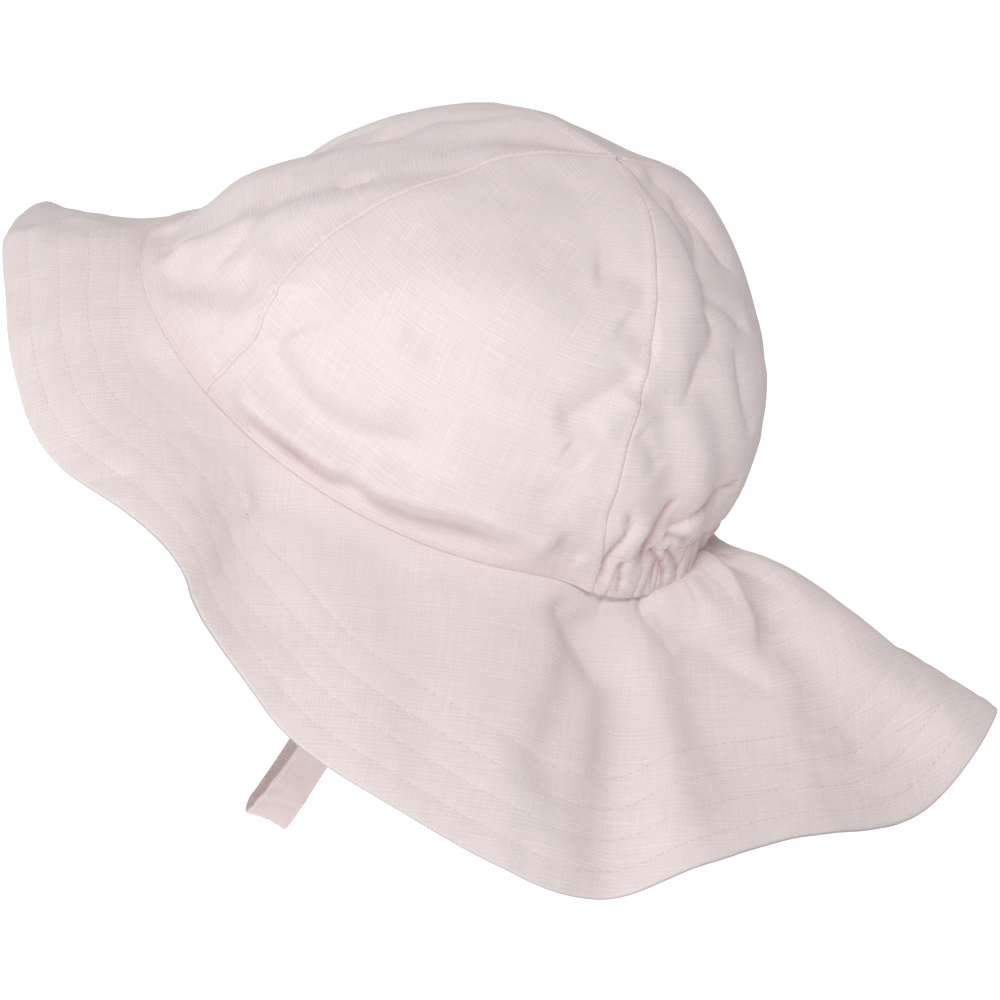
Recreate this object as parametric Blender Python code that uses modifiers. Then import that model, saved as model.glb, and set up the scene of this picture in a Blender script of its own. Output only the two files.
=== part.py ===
"""A baby's linen sun hat: a crown of four panels, a brim that widens into a neck flap, a gathered
elastic casing at the nape and a chin strap.

The hat faces -Y, its left side is +X and its crown points up. The origin is the middle of the head
opening. Sizes here are millimetres, and MM turns them into metres where a mesh is made.
"""

import math

import bpy
from mathutils import Vector

MM = 0.001

# The head opening is an oval whose sides dip below its front and its nape.
OPENING_HALF_LENGTH = 82.0
OPENING_HALF_WIDTH = 68.0
OPENING_DIP = 9.0

# The point where the four panels meet, behind the middle of the opening.
APEX = Vector((0.0, 15.6, 81.6))
PANEL_TIP = 0.985

# Cloth thicknesses, and the gap kept between pieces that are sewn together.
CROWN_WALL = 1.3
CASING_WALL = 1.0
BRIM_WALL = 1.8
STRAP_WALL = 1.4
SEAM_GAP = 0.3

# Each table's first row names its columns. Directions are degrees from the front, with the left side
# above 0, and both sides follow the same rows up to 180.

# How a line from the opening to the apex runs, by the direction it starts in.
# taper pulls it in early, rise below 1 makes it climb steeply, hump and puff swell it up and out.
CROWN_LINES = (
    ("direction", "taper", "rise", "hump", "puff"),
    (0, 1.37, 1.60, -1.0, 0.6),
    (45, 1.26, 1.00, 1.0, 1.0),
    (90, 1.07, 0.48, -4.5, 1.6),
    (135, 0.90, 0.66, 1.0, 3.0),
    (180, 1.44, 0.52, -3.0, 4.5),
)
PUFF_START = 7.0
PUFF_REACH = 40.0
HUMP_PLACE = 1.5

# The directions of the seams between the panels on their way up. The right side mirrors the left.
PANEL_SEAMS = (
    ("climb", "front_seam", "back_seam"),
    (0.0, 56, 139),
    (0.3, 53, 133),
    (0.6, 46, 130),
    (1.0, 34, 134),
)

# Broad folds of the crown: each runs from one place to another, a place being a direction and a climb.
CROWN_FOLDS = (
    ("from_direction", "from_climb", "to_direction", "to_climb", "width", "depth"),
    (12, 0.20, 40, 0.62, 8, -2.2),
    (28, 0.06, 46, 0.30, 7, -1.8),
    (-30, 0.10, -14, 0.55, 8, -2.0),
    (-14, 0.12, -44, 0.24, 14, -5.0),
    (70, 0.06, 104, 0.03, 6, 1.6),
    (98, 0.02, 128, 0.06, 6, -1.6),
    (-76, 0.05, -108, 0.03, 6, 1.5),
    (150, 0.04, 138, 0.30, 6, -2.0),
    (166, 0.04, 150, 0.34, 6, -2.2),
    (-160, 0.04, -146, 0.30, 6, -2.2),
    (150, 0.45, 172, 0.75, 8, -1.8),
)

# The brim by its place round the opening: the way it heads, how far it reaches out, how far its edge
# drops, and how high its middle arches over the straight line.
BRIM_LINES = (
    ("direction", "heading", "reach", "drop", "arch"),
    (0, 0, 30.0, 21.5, 2.0),
    (15, 17, 27.5, 23.0, 2.0),
    (33, 37, 26.5, 29.0, 3.5),
    (47, 53, 30.5, 29.0, 4.5),
    (62, 70, 37.0, 19.5, 3.5),
    (69, 77, 40.0, 16.5, 2.5),
    (76, 83, 42.0, 18.5, 1.5),
    (82, 86, 43.5, 25.5, 1.0),
    (88, 89, 45.5, 31.0, 2.0),
    (100, 92, 49.5, 39.5, 4.0),
    (116, 102, 55.5, 44.0, 5.0),
    (130, 113, 63.0, 48.5, 5.0),
    (138, 120, 67.0, 50.5, 2.5),
    (144, 127, 69.5, 46.0, -1.0),
    (150, 135, 71.5, 35.0, -4.0),
    (158, 146, 74.0, 27.5, -6.0),
    (169, 166, 87.5, 19.5, -3.0),
    (180, 180, 89.5, 1.0, 3.0),
)

# Where one side of the brim strays from the other: added to the lines above, and fading with distance.
BRIM_STRAYS = (
    ("direction", "spread", "reach", "drop", "arch"),
    (-22, 20, 8.0, -1.0, -5.0),
)

# The brim's inner margin lies under the crown's edge and slopes down from it.
BRIM_LEDGE = 1.6
BRIM_LEDGE_DIP = 0.9

# Radiating folds of the brim and the flap, from a place on the seam to a place on the edge.
BRIM_FOLDS = (
    ("seam_direction", "edge_direction", "starts", "ends", "width", "depth"),
    (140, 128, 0.02, 0.62, 7, -2.6),
    (146, 142, 0.02, 1.05, 9, -4.0),
    (154, 148, 0.00, 0.80, 8, 4.0),
    (163, 156, 0.10, 0.75, 8, -5.0),
    (-141, -130, 0.02, 0.70, 8, -2.8),
    (-152, -146, 0.02, 1.00, 9, -3.8),
    (-166, -160, 0.10, 0.80, 8, -3.4),
    (80, 78, 0.20, 1.05, 11, -3.0),
    (-72, -76, 0.20, 1.05, 11, -2.6),
)

# The gathers at the nape: narrow tucks between the two back seams, deepest in the casing. They fade
# up the crown in millimetres, out over the brim as a share of its width, and beside each back seam.
TUCKS = 16
TUCK_DEPTH = 1.3
TUCK_SHARPNESS = 0.8
TUCK_FADE_UP = 16.0
TUCK_FADE_OUT = 0.22
TUCK_FADE_SIDEWAYS = 0.08
CASING_HEIGHT = 8.0
CASING_CLIMB_LIMIT = 0.6

# Folds start this far from the seam: up the crown in millimetres, over the brim as a share of its width.
CROWN_FOLD_START = 9.0
BRIM_FOLD_START = 0.12
BRIM_TUCK_START = 0.05

# Above this climb the panels run plainly to their tips.
SMOOTH_APEX = 0.97

# How finely the cloth is cut up into faces.
NAPE_STEPS = 3 * TUCKS
FRONT_STEPS = 26
SIDE_STEPS = 20
CROWN_STEPS = 11
CASING_STEPS = 2
BRIM_STEPS = 8
ROW_CROWDING = 1.7

# How closely normals and heights are worked out.
CROWN_NORMAL_STEP = 0.01
BRIM_NORMAL_STEP = 0.02
NORMAL_TURN = 1.0
HALVINGS = 40

# The chin strap: a band hung from both sides of the opening.
STRAP_WIDTH = 12.0
STRAP_DROP = 131.0
STRAP_HALF_SPAN = 61.9
STRAP_FOOT_Y = 18.3
STRAP_SIDE_Y = 27.0
STRAP_CATENARY = 27.0
STRAP_TAIL = 9.0
STRAP_STEPS = 22
STRAP_LEFT_TWIST = 38.0
STRAP_RIGHT_TWIST = 10.0
STRAP_TWIST_END = 0.85

LINEN = (0.80, 0.67, 0.66, 1.0)
LINEN_SEAM = (0.78, 0.61, 0.60, 1.0)
LINEN_ROUGHNESS = 0.9


def column(table, name):
    """A table's column by its name."""
    names, *rows = table
    return [row[names.index(name)] for row in rows]


def eased(table, name, place):
    """A column's value at a place in the table, on a smooth curve through its rows."""
    places = column(table, table[0][0])
    values = column(table, name)
    place = min(max(place, places[0]), places[-1])
    after = next(i for i in range(1, len(places)) if place <= places[i])
    before = after - 1

    def slope(i):
        if i in (0, len(places) - 1):
            return 0.0
        return (values[i + 1] - values[i - 1]) / (places[i + 1] - places[i - 1])

    span = places[after] - places[before]
    t = (place - places[before]) / span
    start = (1 + 2 * t) * (1 - t) ** 2 * values[before] + t * (1 - t) ** 2 * span * slope(before)
    end = t * t * (3 - 2 * t) * values[after] + t * t * (t - 1) * span * slope(after)
    return start + end


def folded(direction):
    """A direction from the front, to either side, from 0 to 180 degrees."""
    return abs((direction + 180.0) % 360.0 - 180.0)


def signed(direction):
    """A direction from the front, from -180 to 180 degrees, with the left side above 0."""
    return (direction + 180.0) % 360.0 - 180.0


def opening_point(direction):
    turn = math.radians(direction)
    return Vector(
        (
            OPENING_HALF_WIDTH * math.sin(turn),
            -OPENING_HALF_LENGTH * math.cos(turn),
            -OPENING_DIP * math.sin(turn) ** 2,
        )
    )


def seam_direction(name, climb):
    return eased(PANEL_SEAMS, name, climb)


def tuck(direction):
    """How deep the gathers are at a direction: 1 in the pit of a tuck, and 0 outside the nape."""
    edge = seam_direction("back_seam", 0.0)
    place = (direction % 360.0 - edge) / (360.0 - 2.0 * edge)
    if not 0.0 < place < 1.0:
        return 0.0
    settle = min(1.0, place / TUCK_FADE_SIDEWAYS, (1.0 - place) / TUCK_FADE_SIDEWAYS)
    return settle * (1.0 - abs(math.sin(math.pi * TUCKS * place)) ** TUCK_SHARPNESS)


def bare_crown(direction, climb):
    """The crown without folds: climb is 0 at the opening and 1 at the apex."""
    taper, rise, hump, puff = (eased(CROWN_LINES, name, folded(direction)) for name in CROWN_LINES[0][1:])
    foot = opening_point(direction)
    quarter = climb * math.pi / 2.0
    inward = max(math.cos(quarter), 0.0) ** taper
    upward = math.sin(quarter) ** rise if climb > 0.0 else 0.0
    out = Vector((foot.x, foot.y - APEX.y, 0.0)) * inward
    height = (APEX.z - foot.z) * upward
    swell = puff * (1.0 - math.exp(-height / PUFF_START)) * math.exp(-((height / PUFF_REACH) ** 2))
    out += out.normalized() * swell if out.length > 1.0 else Vector()
    z = foot.z + height + hump * math.sin(math.pi * climb**HUMP_PLACE) ** 2
    return Vector((out.x, out.y + APEX.y, z))


def crown_normal(direction, climb):
    low, high = max(climb - CROWN_NORMAL_STEP, 0.0), min(climb + CROWN_NORMAL_STEP, 1.0)
    along = bare_crown(direction + NORMAL_TURN, climb) - bare_crown(direction - NORMAL_TURN, climb)
    up = bare_crown(direction, high) - bare_crown(direction, low)
    return along.cross(up).normalized()


def crown_folds():
    """Each broad fold as its two ends in space, its width and its depth."""
    return [
        (bare_crown(d0, c0), bare_crown(d1, c1), width, depth)
        for d0, c0, d1, c1, width, depth in CROWN_FOLDS[1:]
    ]


def fold_push(point, folds):
    """How far the folds push a point out along its normal."""
    push = 0.0
    for start, end, width, depth in folds:
        line = end - start
        share = min(max((point - start).dot(line) / line.length_squared, 0.0), 1.0)
        away = (point - start - line * share).length
        push += depth * math.exp(-((away / width) ** 2))
    return push


def crown_point(direction, climb, folds):
    point = bare_crown(direction, climb)
    if climb >= SMOOTH_APEX:
        return point
    height = point.z - opening_point(direction).z
    push = fold_push(point, folds) * min(1.0, height / CROWN_FOLD_START)
    push -= TUCK_DEPTH * tuck(direction) * math.exp(-height / TUCK_FADE_UP)
    return point + crown_normal(direction, climb) * push


def climb_at(direction, height):
    """The climb at which the crown is this high over the opening."""
    low, high = 0.0, CASING_CLIMB_LIMIT
    for _ in range(HALVINGS):
        middle = (low + high) / 2.0
        if bare_crown(direction, middle).z - opening_point(direction).z < height:
            low = middle
        else:
            high = middle
    return low


def open_mesh(name, rows, closed=False):
    """An open surface through rows of points. closed joins each row's end to its start."""
    width = len(rows[0])
    points = [point * MM for row in rows for point in row]
    faces = []
    for r in range(len(rows) - 1):
        for c in range(width if closed else width - 1):
            beside = (c + 1) % width
            below, above = r * width, (r + 1) * width
            faces.append((below + c, below + beside, above + beside, above + c))
    mesh = bpy.data.meshes.new(name)
    mesh.from_pydata(points, [], faces)
    return mesh


def linen(name, colour):
    material = bpy.data.materials.new(name)
    material.use_nodes = True
    shader = material.node_tree.nodes["Principled BSDF"]
    shader.inputs["Base Color"].default_value = colour
    shader.inputs["Roughness"].default_value = LINEN_ROUGHNESS
    shader.inputs["Metallic"].default_value = 0.0
    return material


def cloth(name, mesh, wall, material, collection):
    """A piece of cloth: its open outer face, thickened inwards."""
    piece = bpy.data.objects.new(name, mesh)
    collection.objects.link(piece)
    mesh.materials.append(material)
    mesh.shade_smooth()
    thick = piece.modifiers.new("Cloth thickness", "SOLIDIFY")
    thick.thickness = wall * MM
    thick.offset = -1.0
    thick.use_even_offset = False
    return piece


def panel(name, edges, steps, climbs, wall, material, collection):
    """A panel of the crown. edges gives its seams' directions at a climb, and climbs the heights of the
    points over a place on its lower edge."""
    folds = crown_folds()
    columns = []
    for j in range(steps + 1):
        share = j / steps
        first, last = edges(0.0)
        column_points = []
        for climb in climbs(first + (last - first) * share):
            first_here, last_here = edges(climb)
            direction = first_here + (last_here - first_here) * share
            point = crown_point(direction, climb, folds)
            inward = {0: NORMAL_TURN, steps: -NORMAL_TURN}.get(j, 0.0)
            if inward:
                nearby = crown_point(direction + inward, climb, folds) - point
                point += nearby.normalized() * SEAM_GAP / 2.0
            column_points.append(point)
        columns.append(column_points)
    rows = list(zip(*columns))
    cloth(name, open_mesh(name, rows), wall, material, collection)


def crown(material, collection):
    """The four panels. The back one starts above the casing."""

    def front_edges(climb):
        side = seam_direction("front_seam", climb)
        return -side, side

    def left_edges(climb):
        return seam_direction("front_seam", climb), seam_direction("back_seam", climb)

    def right_edges(climb):
        front, back = left_edges(climb)
        return -back, -front

    def back_edges(climb):
        side = seam_direction("back_seam", climb)
        return side, 360.0 - side

    def crowded(start):
        # Rows lie closer together low down, where the wall is steep.
        shares = [(i / CROWN_STEPS) ** ROW_CROWDING for i in range(CROWN_STEPS + 1)]
        return [start + (PANEL_TIP - start) * share for share in shares]

    def from_opening(_foot):
        return crowded(0.0)

    def from_casing(foot):
        return crowded(climb_at(foot, CASING_HEIGHT + SEAM_GAP))

    panel("crown_front", front_edges, FRONT_STEPS, from_opening, CROWN_WALL, material, collection)
    panel("crown_left", left_edges, SIDE_STEPS, from_opening, CROWN_WALL, material, collection)
    panel("crown_right", right_edges, SIDE_STEPS, from_opening, CROWN_WALL, material, collection)
    panel("crown_back", back_edges, NAPE_STEPS, from_casing, CROWN_WALL, material, collection)


def nape_casing(material, collection):
    """The gathered channel between the back seams, from the opening up to the back panel."""
    edge = seam_direction("back_seam", 0.0)

    def edges(_climb):
        return edge, 360.0 - edge

    def climbs(foot):
        top = climb_at(foot, CASING_HEIGHT)
        return [top * i / CASING_STEPS for i in range(CASING_STEPS + 1)]

    panel("nape_casing", edges, NAPE_STEPS, climbs, CASING_WALL, material, collection)


def brim_ray(direction):
    """The brim's straight line at a direction: its start at the seam, its end at the edge, its arch."""
    heading, reach, drop, arch = (eased(BRIM_LINES, name, folded(direction)) for name in BRIM_LINES[0][1:])
    for place, spread, more_reach, more_drop, more_arch in BRIM_STRAYS[1:]:
        share = math.exp(-((signed(direction - place) / spread) ** 2))
        reach += more_reach * share
        drop += more_drop * share
        arch += more_arch * share
    turn = math.radians(math.copysign(heading, signed(direction)))
    start = opening_point(direction)
    end = start + Vector((math.sin(turn) * reach, -math.cos(turn) * reach, -drop))
    return start, end, arch


def bare_brim(direction, share):
    """The brim without folds: share is 0 at the seam and 1 at the edge."""
    start, end, arch = brim_ray(direction)
    line = end - start
    flat = Vector((line.x, line.y, 0.0))
    lift = (Vector((0.0, 0.0, flat.length)) - flat * (line.z / flat.length)) / line.length
    return start + line * share + lift * arch * 4.0 * share * (1.0 - share)


def brim_normal(direction, share):
    low, high = max(share - BRIM_NORMAL_STEP, 0.0), min(share + BRIM_NORMAL_STEP, 1.0)
    out = bare_brim(direction, high) - bare_brim(direction, low)
    along = bare_brim(direction + NORMAL_TURN, share) - bare_brim(direction - NORMAL_TURN, share)
    return out.cross(along).normalized()


def brim_folds():
    """Each radiating fold as its two ends in space, its width and its depth."""
    folds = []
    for seam, edge, starts, ends, width, depth in BRIM_FOLDS[1:]:
        start = bare_brim(seam + (edge - seam) * starts, starts)
        end = bare_brim(seam + (edge - seam) * ends, ends)
        folds.append((start, end, width, depth))
    return folds


def brim_point(direction, share, folds):
    point = bare_brim(direction, share)
    push = fold_push(point, folds) * min(1.0, share / BRIM_FOLD_START)
    fade = math.exp(-share / TUCK_FADE_OUT) * min(1.0, share / BRIM_TUCK_START)
    push -= TUCK_DEPTH * tuck(direction) * fade
    return point + brim_normal(direction, share) * push


def brim(material, collection):
    """One ring of cloth from a ledge under the crown's edge out to the brim's edge."""
    folds = brim_folds()
    edge = seam_direction("back_seam", 0.0)
    front_steps = FRONT_STEPS + 2 * SIDE_STEPS
    directions = [-edge + 2.0 * edge * i / front_steps for i in range(front_steps)]
    directions += [edge + (360.0 - 2.0 * edge) * i / NAPE_STEPS for i in range(NAPE_STEPS)]
    rows = [[], []]
    for direction in directions:
        start = opening_point(direction) - Vector((0.0, 0.0, SEAM_GAP))
        foot = Vector((start.x, start.y, 0.0))
        tuck_in = foot.normalized() * TUCK_DEPTH * tuck(direction)
        margin = foot.normalized() * BRIM_LEDGE + Vector((0.0, 0.0, BRIM_LEDGE_DIP))
        rows[0].append(start - margin - tuck_in)
        rows[1].append(start - tuck_in)
    for i in range(1, BRIM_STEPS + 1):
        share = i / BRIM_STEPS
        rows.append([brim_point(direction, share, folds) for direction in directions])
    rows.reverse()
    cloth("brim", open_mesh("brim", rows, closed=True), BRIM_WALL, material, collection)


def strap_path():
    """The strap's middle line from the right side of the opening, under the hat, to the left side."""
    steepness = STRAP_CATENARY
    ends = STRAP_HALF_SPAN / steepness
    points = []
    for i in range(-STRAP_STEPS, STRAP_STEPS + 1):
        # Equal steps along a catenary are equal steps of its sinh.
        along = math.asinh(math.sinh(ends) * i / STRAP_STEPS)
        lift = (math.cosh(along) - 1.0) / (math.cosh(ends) - 1.0)
        back = abs(i) / STRAP_STEPS
        points.append(
            (
                steepness * along,
                STRAP_FOOT_Y + (STRAP_SIDE_Y - STRAP_FOOT_Y) * back,
                -STRAP_DROP + (STRAP_DROP - OPENING_DIP) * lift,
            )
        )
    return [Vector(point) for point in points]


def chin_strap(material, collection):
    """A flat band along the path, its ends flat against the inside of the crown."""
    path = strap_path()
    top = Vector((0.0, 0.0, STRAP_TAIL))
    path = [path[0] + top] + path + [path[-1] + top]
    last = len(path) - 1
    # At its ends the band lies along the opening, which slants a little from the side.
    end_slant = math.atan2(
        OPENING_HALF_WIDTH**2 * STRAP_SIDE_Y, OPENING_HALF_LENGTH**2 * STRAP_HALF_SPAN
    )
    rows = [[], []]
    for i, point in enumerate(path):
        side = 1.0 if i > last / 2 else -1.0
        up = abs(2.0 * i / last - 1.0)
        twist = STRAP_LEFT_TWIST if side > 0 else STRAP_RIGHT_TWIST
        turning = math.sin(math.pi * min(1.0, up / STRAP_TWIST_END))
        slant = end_slant * up**3 + math.radians(twist) * turning
        along = (path[min(i + 1, last)] - path[max(i - 1, 0)]).normalized()
        across = Vector((-side * math.sin(slant), math.cos(slant), 0.0))
        across = (across - along * across.dot(along)).normalized()
        rows[0].append(point + across * STRAP_WIDTH / 2.0)
        rows[1].append(point - across * STRAP_WIDTH / 2.0)
    cloth("chin_strap", open_mesh("chin_strap", rows), STRAP_WALL, material, collection)


def main():
    for old in list(bpy.data.objects):
        bpy.data.objects.remove(old)
    collection = bpy.data.collections.new("Baby sun hat")
    bpy.context.scene.collection.children.link(collection)
    pale = linen("Pale linen", LINEN)
    seamed = linen("Double linen", LINEN_SEAM)
    crown(pale, collection)
    nape_casing(seamed, collection)
    brim(pale, collection)
    chin_strap(seamed, collection)


main()
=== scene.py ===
"""The looks of a baby's linen sun hat: a crown of four panels, a brim that widens into a neck flap, a
gathered casing at the nape and a chin strap.

Each piece of cloth is worked out again from the sizes and tables of its construction, in millimetres, with
its creases, gathers, seams and stitches, and it replaces the plain solid of the same name.
"""

import math

import bpy
import numpy as np
from mathutils import Matrix, Vector, noise


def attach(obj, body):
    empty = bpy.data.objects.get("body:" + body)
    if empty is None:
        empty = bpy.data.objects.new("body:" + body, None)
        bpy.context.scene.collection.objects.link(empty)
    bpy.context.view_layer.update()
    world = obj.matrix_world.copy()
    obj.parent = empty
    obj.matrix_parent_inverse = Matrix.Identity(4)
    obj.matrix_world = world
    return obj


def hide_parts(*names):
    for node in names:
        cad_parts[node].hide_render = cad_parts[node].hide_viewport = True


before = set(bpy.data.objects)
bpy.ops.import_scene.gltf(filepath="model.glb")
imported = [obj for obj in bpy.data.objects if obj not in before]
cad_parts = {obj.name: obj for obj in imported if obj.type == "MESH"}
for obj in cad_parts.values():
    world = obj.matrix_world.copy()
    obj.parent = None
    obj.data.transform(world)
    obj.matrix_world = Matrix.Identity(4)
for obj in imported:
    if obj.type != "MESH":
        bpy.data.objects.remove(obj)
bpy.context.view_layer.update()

MM = 0.001

# The camera looks at the hat's left side from above, turned about its own line of sight. The picture is
# square, and the origin of the hat falls on one of its pixels.
CAMERA_ELEVATION = 25.0
CAMERA_AZIMUTH = 90.0
CAMERA_ROLL = 29.4
CAMERA_DISTANCE = 1600.0
SENSOR_WIDTH = 36.0
PICTURE_SIDE = 1000.0
PIXELS_PER_MM = 3.85
ORIGIN_PIXEL = (424.4, 384.7)

# The head opening, and the point where the panels meet.
OPENING_HALF_LENGTH = 82.0
OPENING_HALF_WIDTH = 68.0
OPENING_DIP = 9.0
APEX = np.array((0.0, 15.6, 81.6))
PANEL_TIP = 0.985
TIP_FADE = 0.06

# Cloth thicknesses. A panel is thinner at its lower edge, and the brim has a margin inside the crown.
CROWN_WALL = 1.0
EDGE_WALL_SHARE = 0.3
EDGE_WALL_WIDTH = 1.8
CASING_WALL = 0.9
BRIM_WALL = 1.6
MARGIN_WALL = 0.7
STRAP_WALL = 1.4

# Tables of the construction. The first row names the columns. Directions are degrees from the front, with
# the left side above 0; climb goes from 0 at the opening to 1 at the apex, share from 0 at the seam to 1 at
# the brim's edge. The panels' seams are followed a little more closely than in the construction.
CROWN_LINES = (
    ("direction", "taper", "rise", "hump", "puff"),
    (0, 1.37, 1.60, -1.0, 0.6),
    (45, 1.26, 1.00, 1.0, 1.0),
    (90, 1.07, 0.48, -4.5, 1.6),
    (135, 0.90, 0.66, 1.0, 3.0),
    (180, 1.44, 0.52, -3.0, 4.5),
)
PUFF_START = 7.0
PUFF_REACH = 40.0
HUMP_PLACE = 1.5

PANEL_SEAMS = (
    ("climb", "front_seam", "back_seam"),
    (0.0, 56.0, 139.0),
    (0.04, 57.5, 135.7),
    (0.1, 58.5, 133.4),
    (0.2, 56.3, 131.7),
    (0.3, 54.0, 131.5),
    (0.6, 49.5, 131.0),
    (0.8, 42.5, 132.5),
    (1.0, 34.0, 137.0),
)
NAPE_EDGE = PANEL_SEAMS[1][2]

BRIM_LINES = (
    ("direction", "heading", "reach", "drop", "arch"),
    (0, 0, 30.0, 21.5, 2.0),
    (15, 17, 27.5, 23.0, 2.0),
    (33, 37, 26.5, 29.0, 3.5),
    (47, 53, 30.5, 29.0, 4.5),
    (62, 70, 37.0, 19.5, 3.5),
    (69, 77, 40.0, 16.5, 2.5),
    (76, 83, 42.0, 18.5, 1.5),
    (82, 86, 43.5, 25.5, 1.0),
    (88, 89, 45.5, 31.0, 2.0),
    (100, 92, 49.5, 39.5, 4.0),
    (116, 102, 55.5, 44.0, 5.0),
    (130, 113, 63.0, 48.5, 5.0),
    (138, 120, 67.0, 50.5, 2.5),
    (144, 127, 69.5, 46.0, -1.0),
    (150, 135, 71.5, 35.0, -4.0),
    (158, 146, 74.0, 27.5, -6.0),
    (169, 166, 87.5, 19.5, -3.0),
    (180, 180, 89.5, 1.0, 3.0),
)
BRIM_STRAY_PLACE = -22.0
BRIM_STRAY_SPREAD = 20.0
BRIM_STRAY = {"reach": 8.0, "drop": -1.0, "arch": -5.0}
SEAM_GAP = 0.06

# Folds and creases, each along a curve through its places. A power of 2 makes a round fold and 1 a sharp
# crease. lean makes the side to the left of its run, seen from outside, steeper than the right one.
FOLD_COLUMNS = ("width", "depth", "power", "lean", "places")

# Places are (direction, climb).
CROWN_FOLDS = (
    # Broad folds, most of them as in the construction.
    (8, -2.2, 2, 0, ((12, 0.20), (26, 0.41), (40, 0.62))),
    (7, -1.8, 2, 0, ((28, 0.06), (37, 0.18), (46, 0.30))),
    (8, -2.0, 2, 0, ((-30, 0.10), (-22, 0.33), (-14, 0.55))),
    (14, -6.8, 2, 0, ((-14, 0.12), (-29, 0.18), (-44, 0.24))),
    (6, -2.0, 2, 0, ((150, 0.04), (144, 0.17), (138, 0.30))),
    (6, -2.2, 2, 0, ((166, 0.04), (158, 0.19), (150, 0.34))),
    (6, -2.2, 2, 0, ((-160, 0.04), (-153, 0.17), (-146, 0.30))),
    (8, -1.0, 2, 0, ((152, 0.45), (163, 0.60), (172, 0.75))),
    (7, 1.4, 2, 0, ((138, 0.45), (143, 0.60), (150, 0.76))),
    # Creases of the front panel.
    (12.0, 2.4, 2, 0, ((6, 0.36), (0, 0.50), (-8, 0.62), (-16, 0.72))),
    (6.0, -1.8, 1.8, 0, ((24, 0.14), (32, 0.24), (38, 0.34))),
    (6.0, -3.0, 2, 0, ((30, 0.11), (38, 0.14), (47, 0.17))),
    (3.2, -1.4, 1.25, 0.25, ((36, 0.14), (34, 0.23), (32, 0.27), (27, 0.33), (15, 0.38), (-1, 0.42))),
    (3.0, -0.9, 1.25, 0.25, ((28, 0.36), (21, 0.41), (6, 0.45), (-9, 0.47), (-16, 0.51), (-24, 0.53))),
    (3.4, -1.4, 1.3, 0.2, ((16, 0.07), (18, 0.16), (19, 0.23), (22, 0.31))),
    (3.0, -1.0, 1.3, 0, ((6, 0.09), (13, 0.13), (20, 0.18))),
    (3.0, -1.3, 1.3, 0, ((31, 0.45), (30, 0.48), (29, 0.52))),
    (3.5, -1.0, 1.5, 0, ((-7, 0.48), (-19, 0.57), (-23, 0.67), (-40, 0.72))),
    (2.4, -0.8, 1.3, 0, ((48, 0.05), (50, 0.08), (51, 0.10))),
    (3.5, -1.2, 1.4, 0, ((40, 0.22), (48, 0.20), (55, 0.18))),
    (3.5, -1.2, 1.3, 0.2, ((-8, 0.22), (-24, 0.36), (-30, 0.50))),
    (3.0, -1.0, 1.3, 0, ((10, 0.10), (2, 0.22), (-10, 0.30))),
    # Creases of the left panel.
    (6.0, -2.4, 1.6, 0, ((58, 0.22), (61, 0.18), (66, 0.13))),
    (7.0, -1.2, 2, 0, ((58, 0.76), (70, 0.78), (82, 0.79))),
    (5.0, -1.4, 1.6, 0, ((110, 0.58), (120, 0.60), (131, 0.56))),
    (4.5, -1.4, 1.5, 0, ((121, 0.47), (127, 0.44), (133, 0.44))),
    (4.5, 1.5, 1.8, 0, ((124, 0.20), (128, 0.26), (130, 0.31))),
    (4.6, -2.4, 1.6, 0, ((115, 0.17), (119, 0.22), (123, 0.28), (127, 0.33), (129, 0.37))),
    (3.0, -1.0, 1.6, 0, ((119, 0.15), (122, 0.15), (125, 0.14))),
    (9.0, -1.0, 2, 0, ((86, 0.24), (96, 0.27), (108, 0.27))),
    (5.0, -0.8, 1.8, 0, ((82, 0.20), (87, 0.19), (91, 0.17))),
    # Creases of the back panel.
    (3.6, -1.8, 1.3, 0.2, ((-149, 0.93), (-156, 0.81), (-158, 0.69), (-164, 0.59), (-167, 0.48))),
    (3.6, -1.6, 1.3, 0, ((-164, 0.77), (-161, 0.70), (-173, 0.63), (169, 0.60), (158, 0.57))),
    (3.4, -1.5, 1.3, 0, ((156, 0.57), (167, 0.50), (177, 0.38))),
    (3.4, -1.7, 1.3, 0, ((152, 0.56), (157, 0.50), (156, 0.44), (148, 0.39), (146, 0.33), (142, 0.27))),
    (3.0, -1.3, 1.3, 0, ((133, 0.24), (137, 0.20), (142, 0.15))),
    (3.4, -1.4, 1.3, 0.2, ((172, 0.15), (166, 0.25), (165, 0.40))),
    # Creases of the right panel.
    (4.0, -1.3, 1.5, 0, ((-60, 0.22), (-72, 0.16), (-84, 0.14))),
    (6.0, -1.2, 1.8, 0, ((-70, 0.60), (-86, 0.55), (-100, 0.56))),
    (5.0, -1.2, 1.5, 0, ((-118, 0.12), (-110, 0.22), (-112, 0.34))),
    (3.4, -1.4, 1.3, 0.2, ((-166, 0.20), (-172, 0.32), (-168, 0.44))),
)

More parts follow.
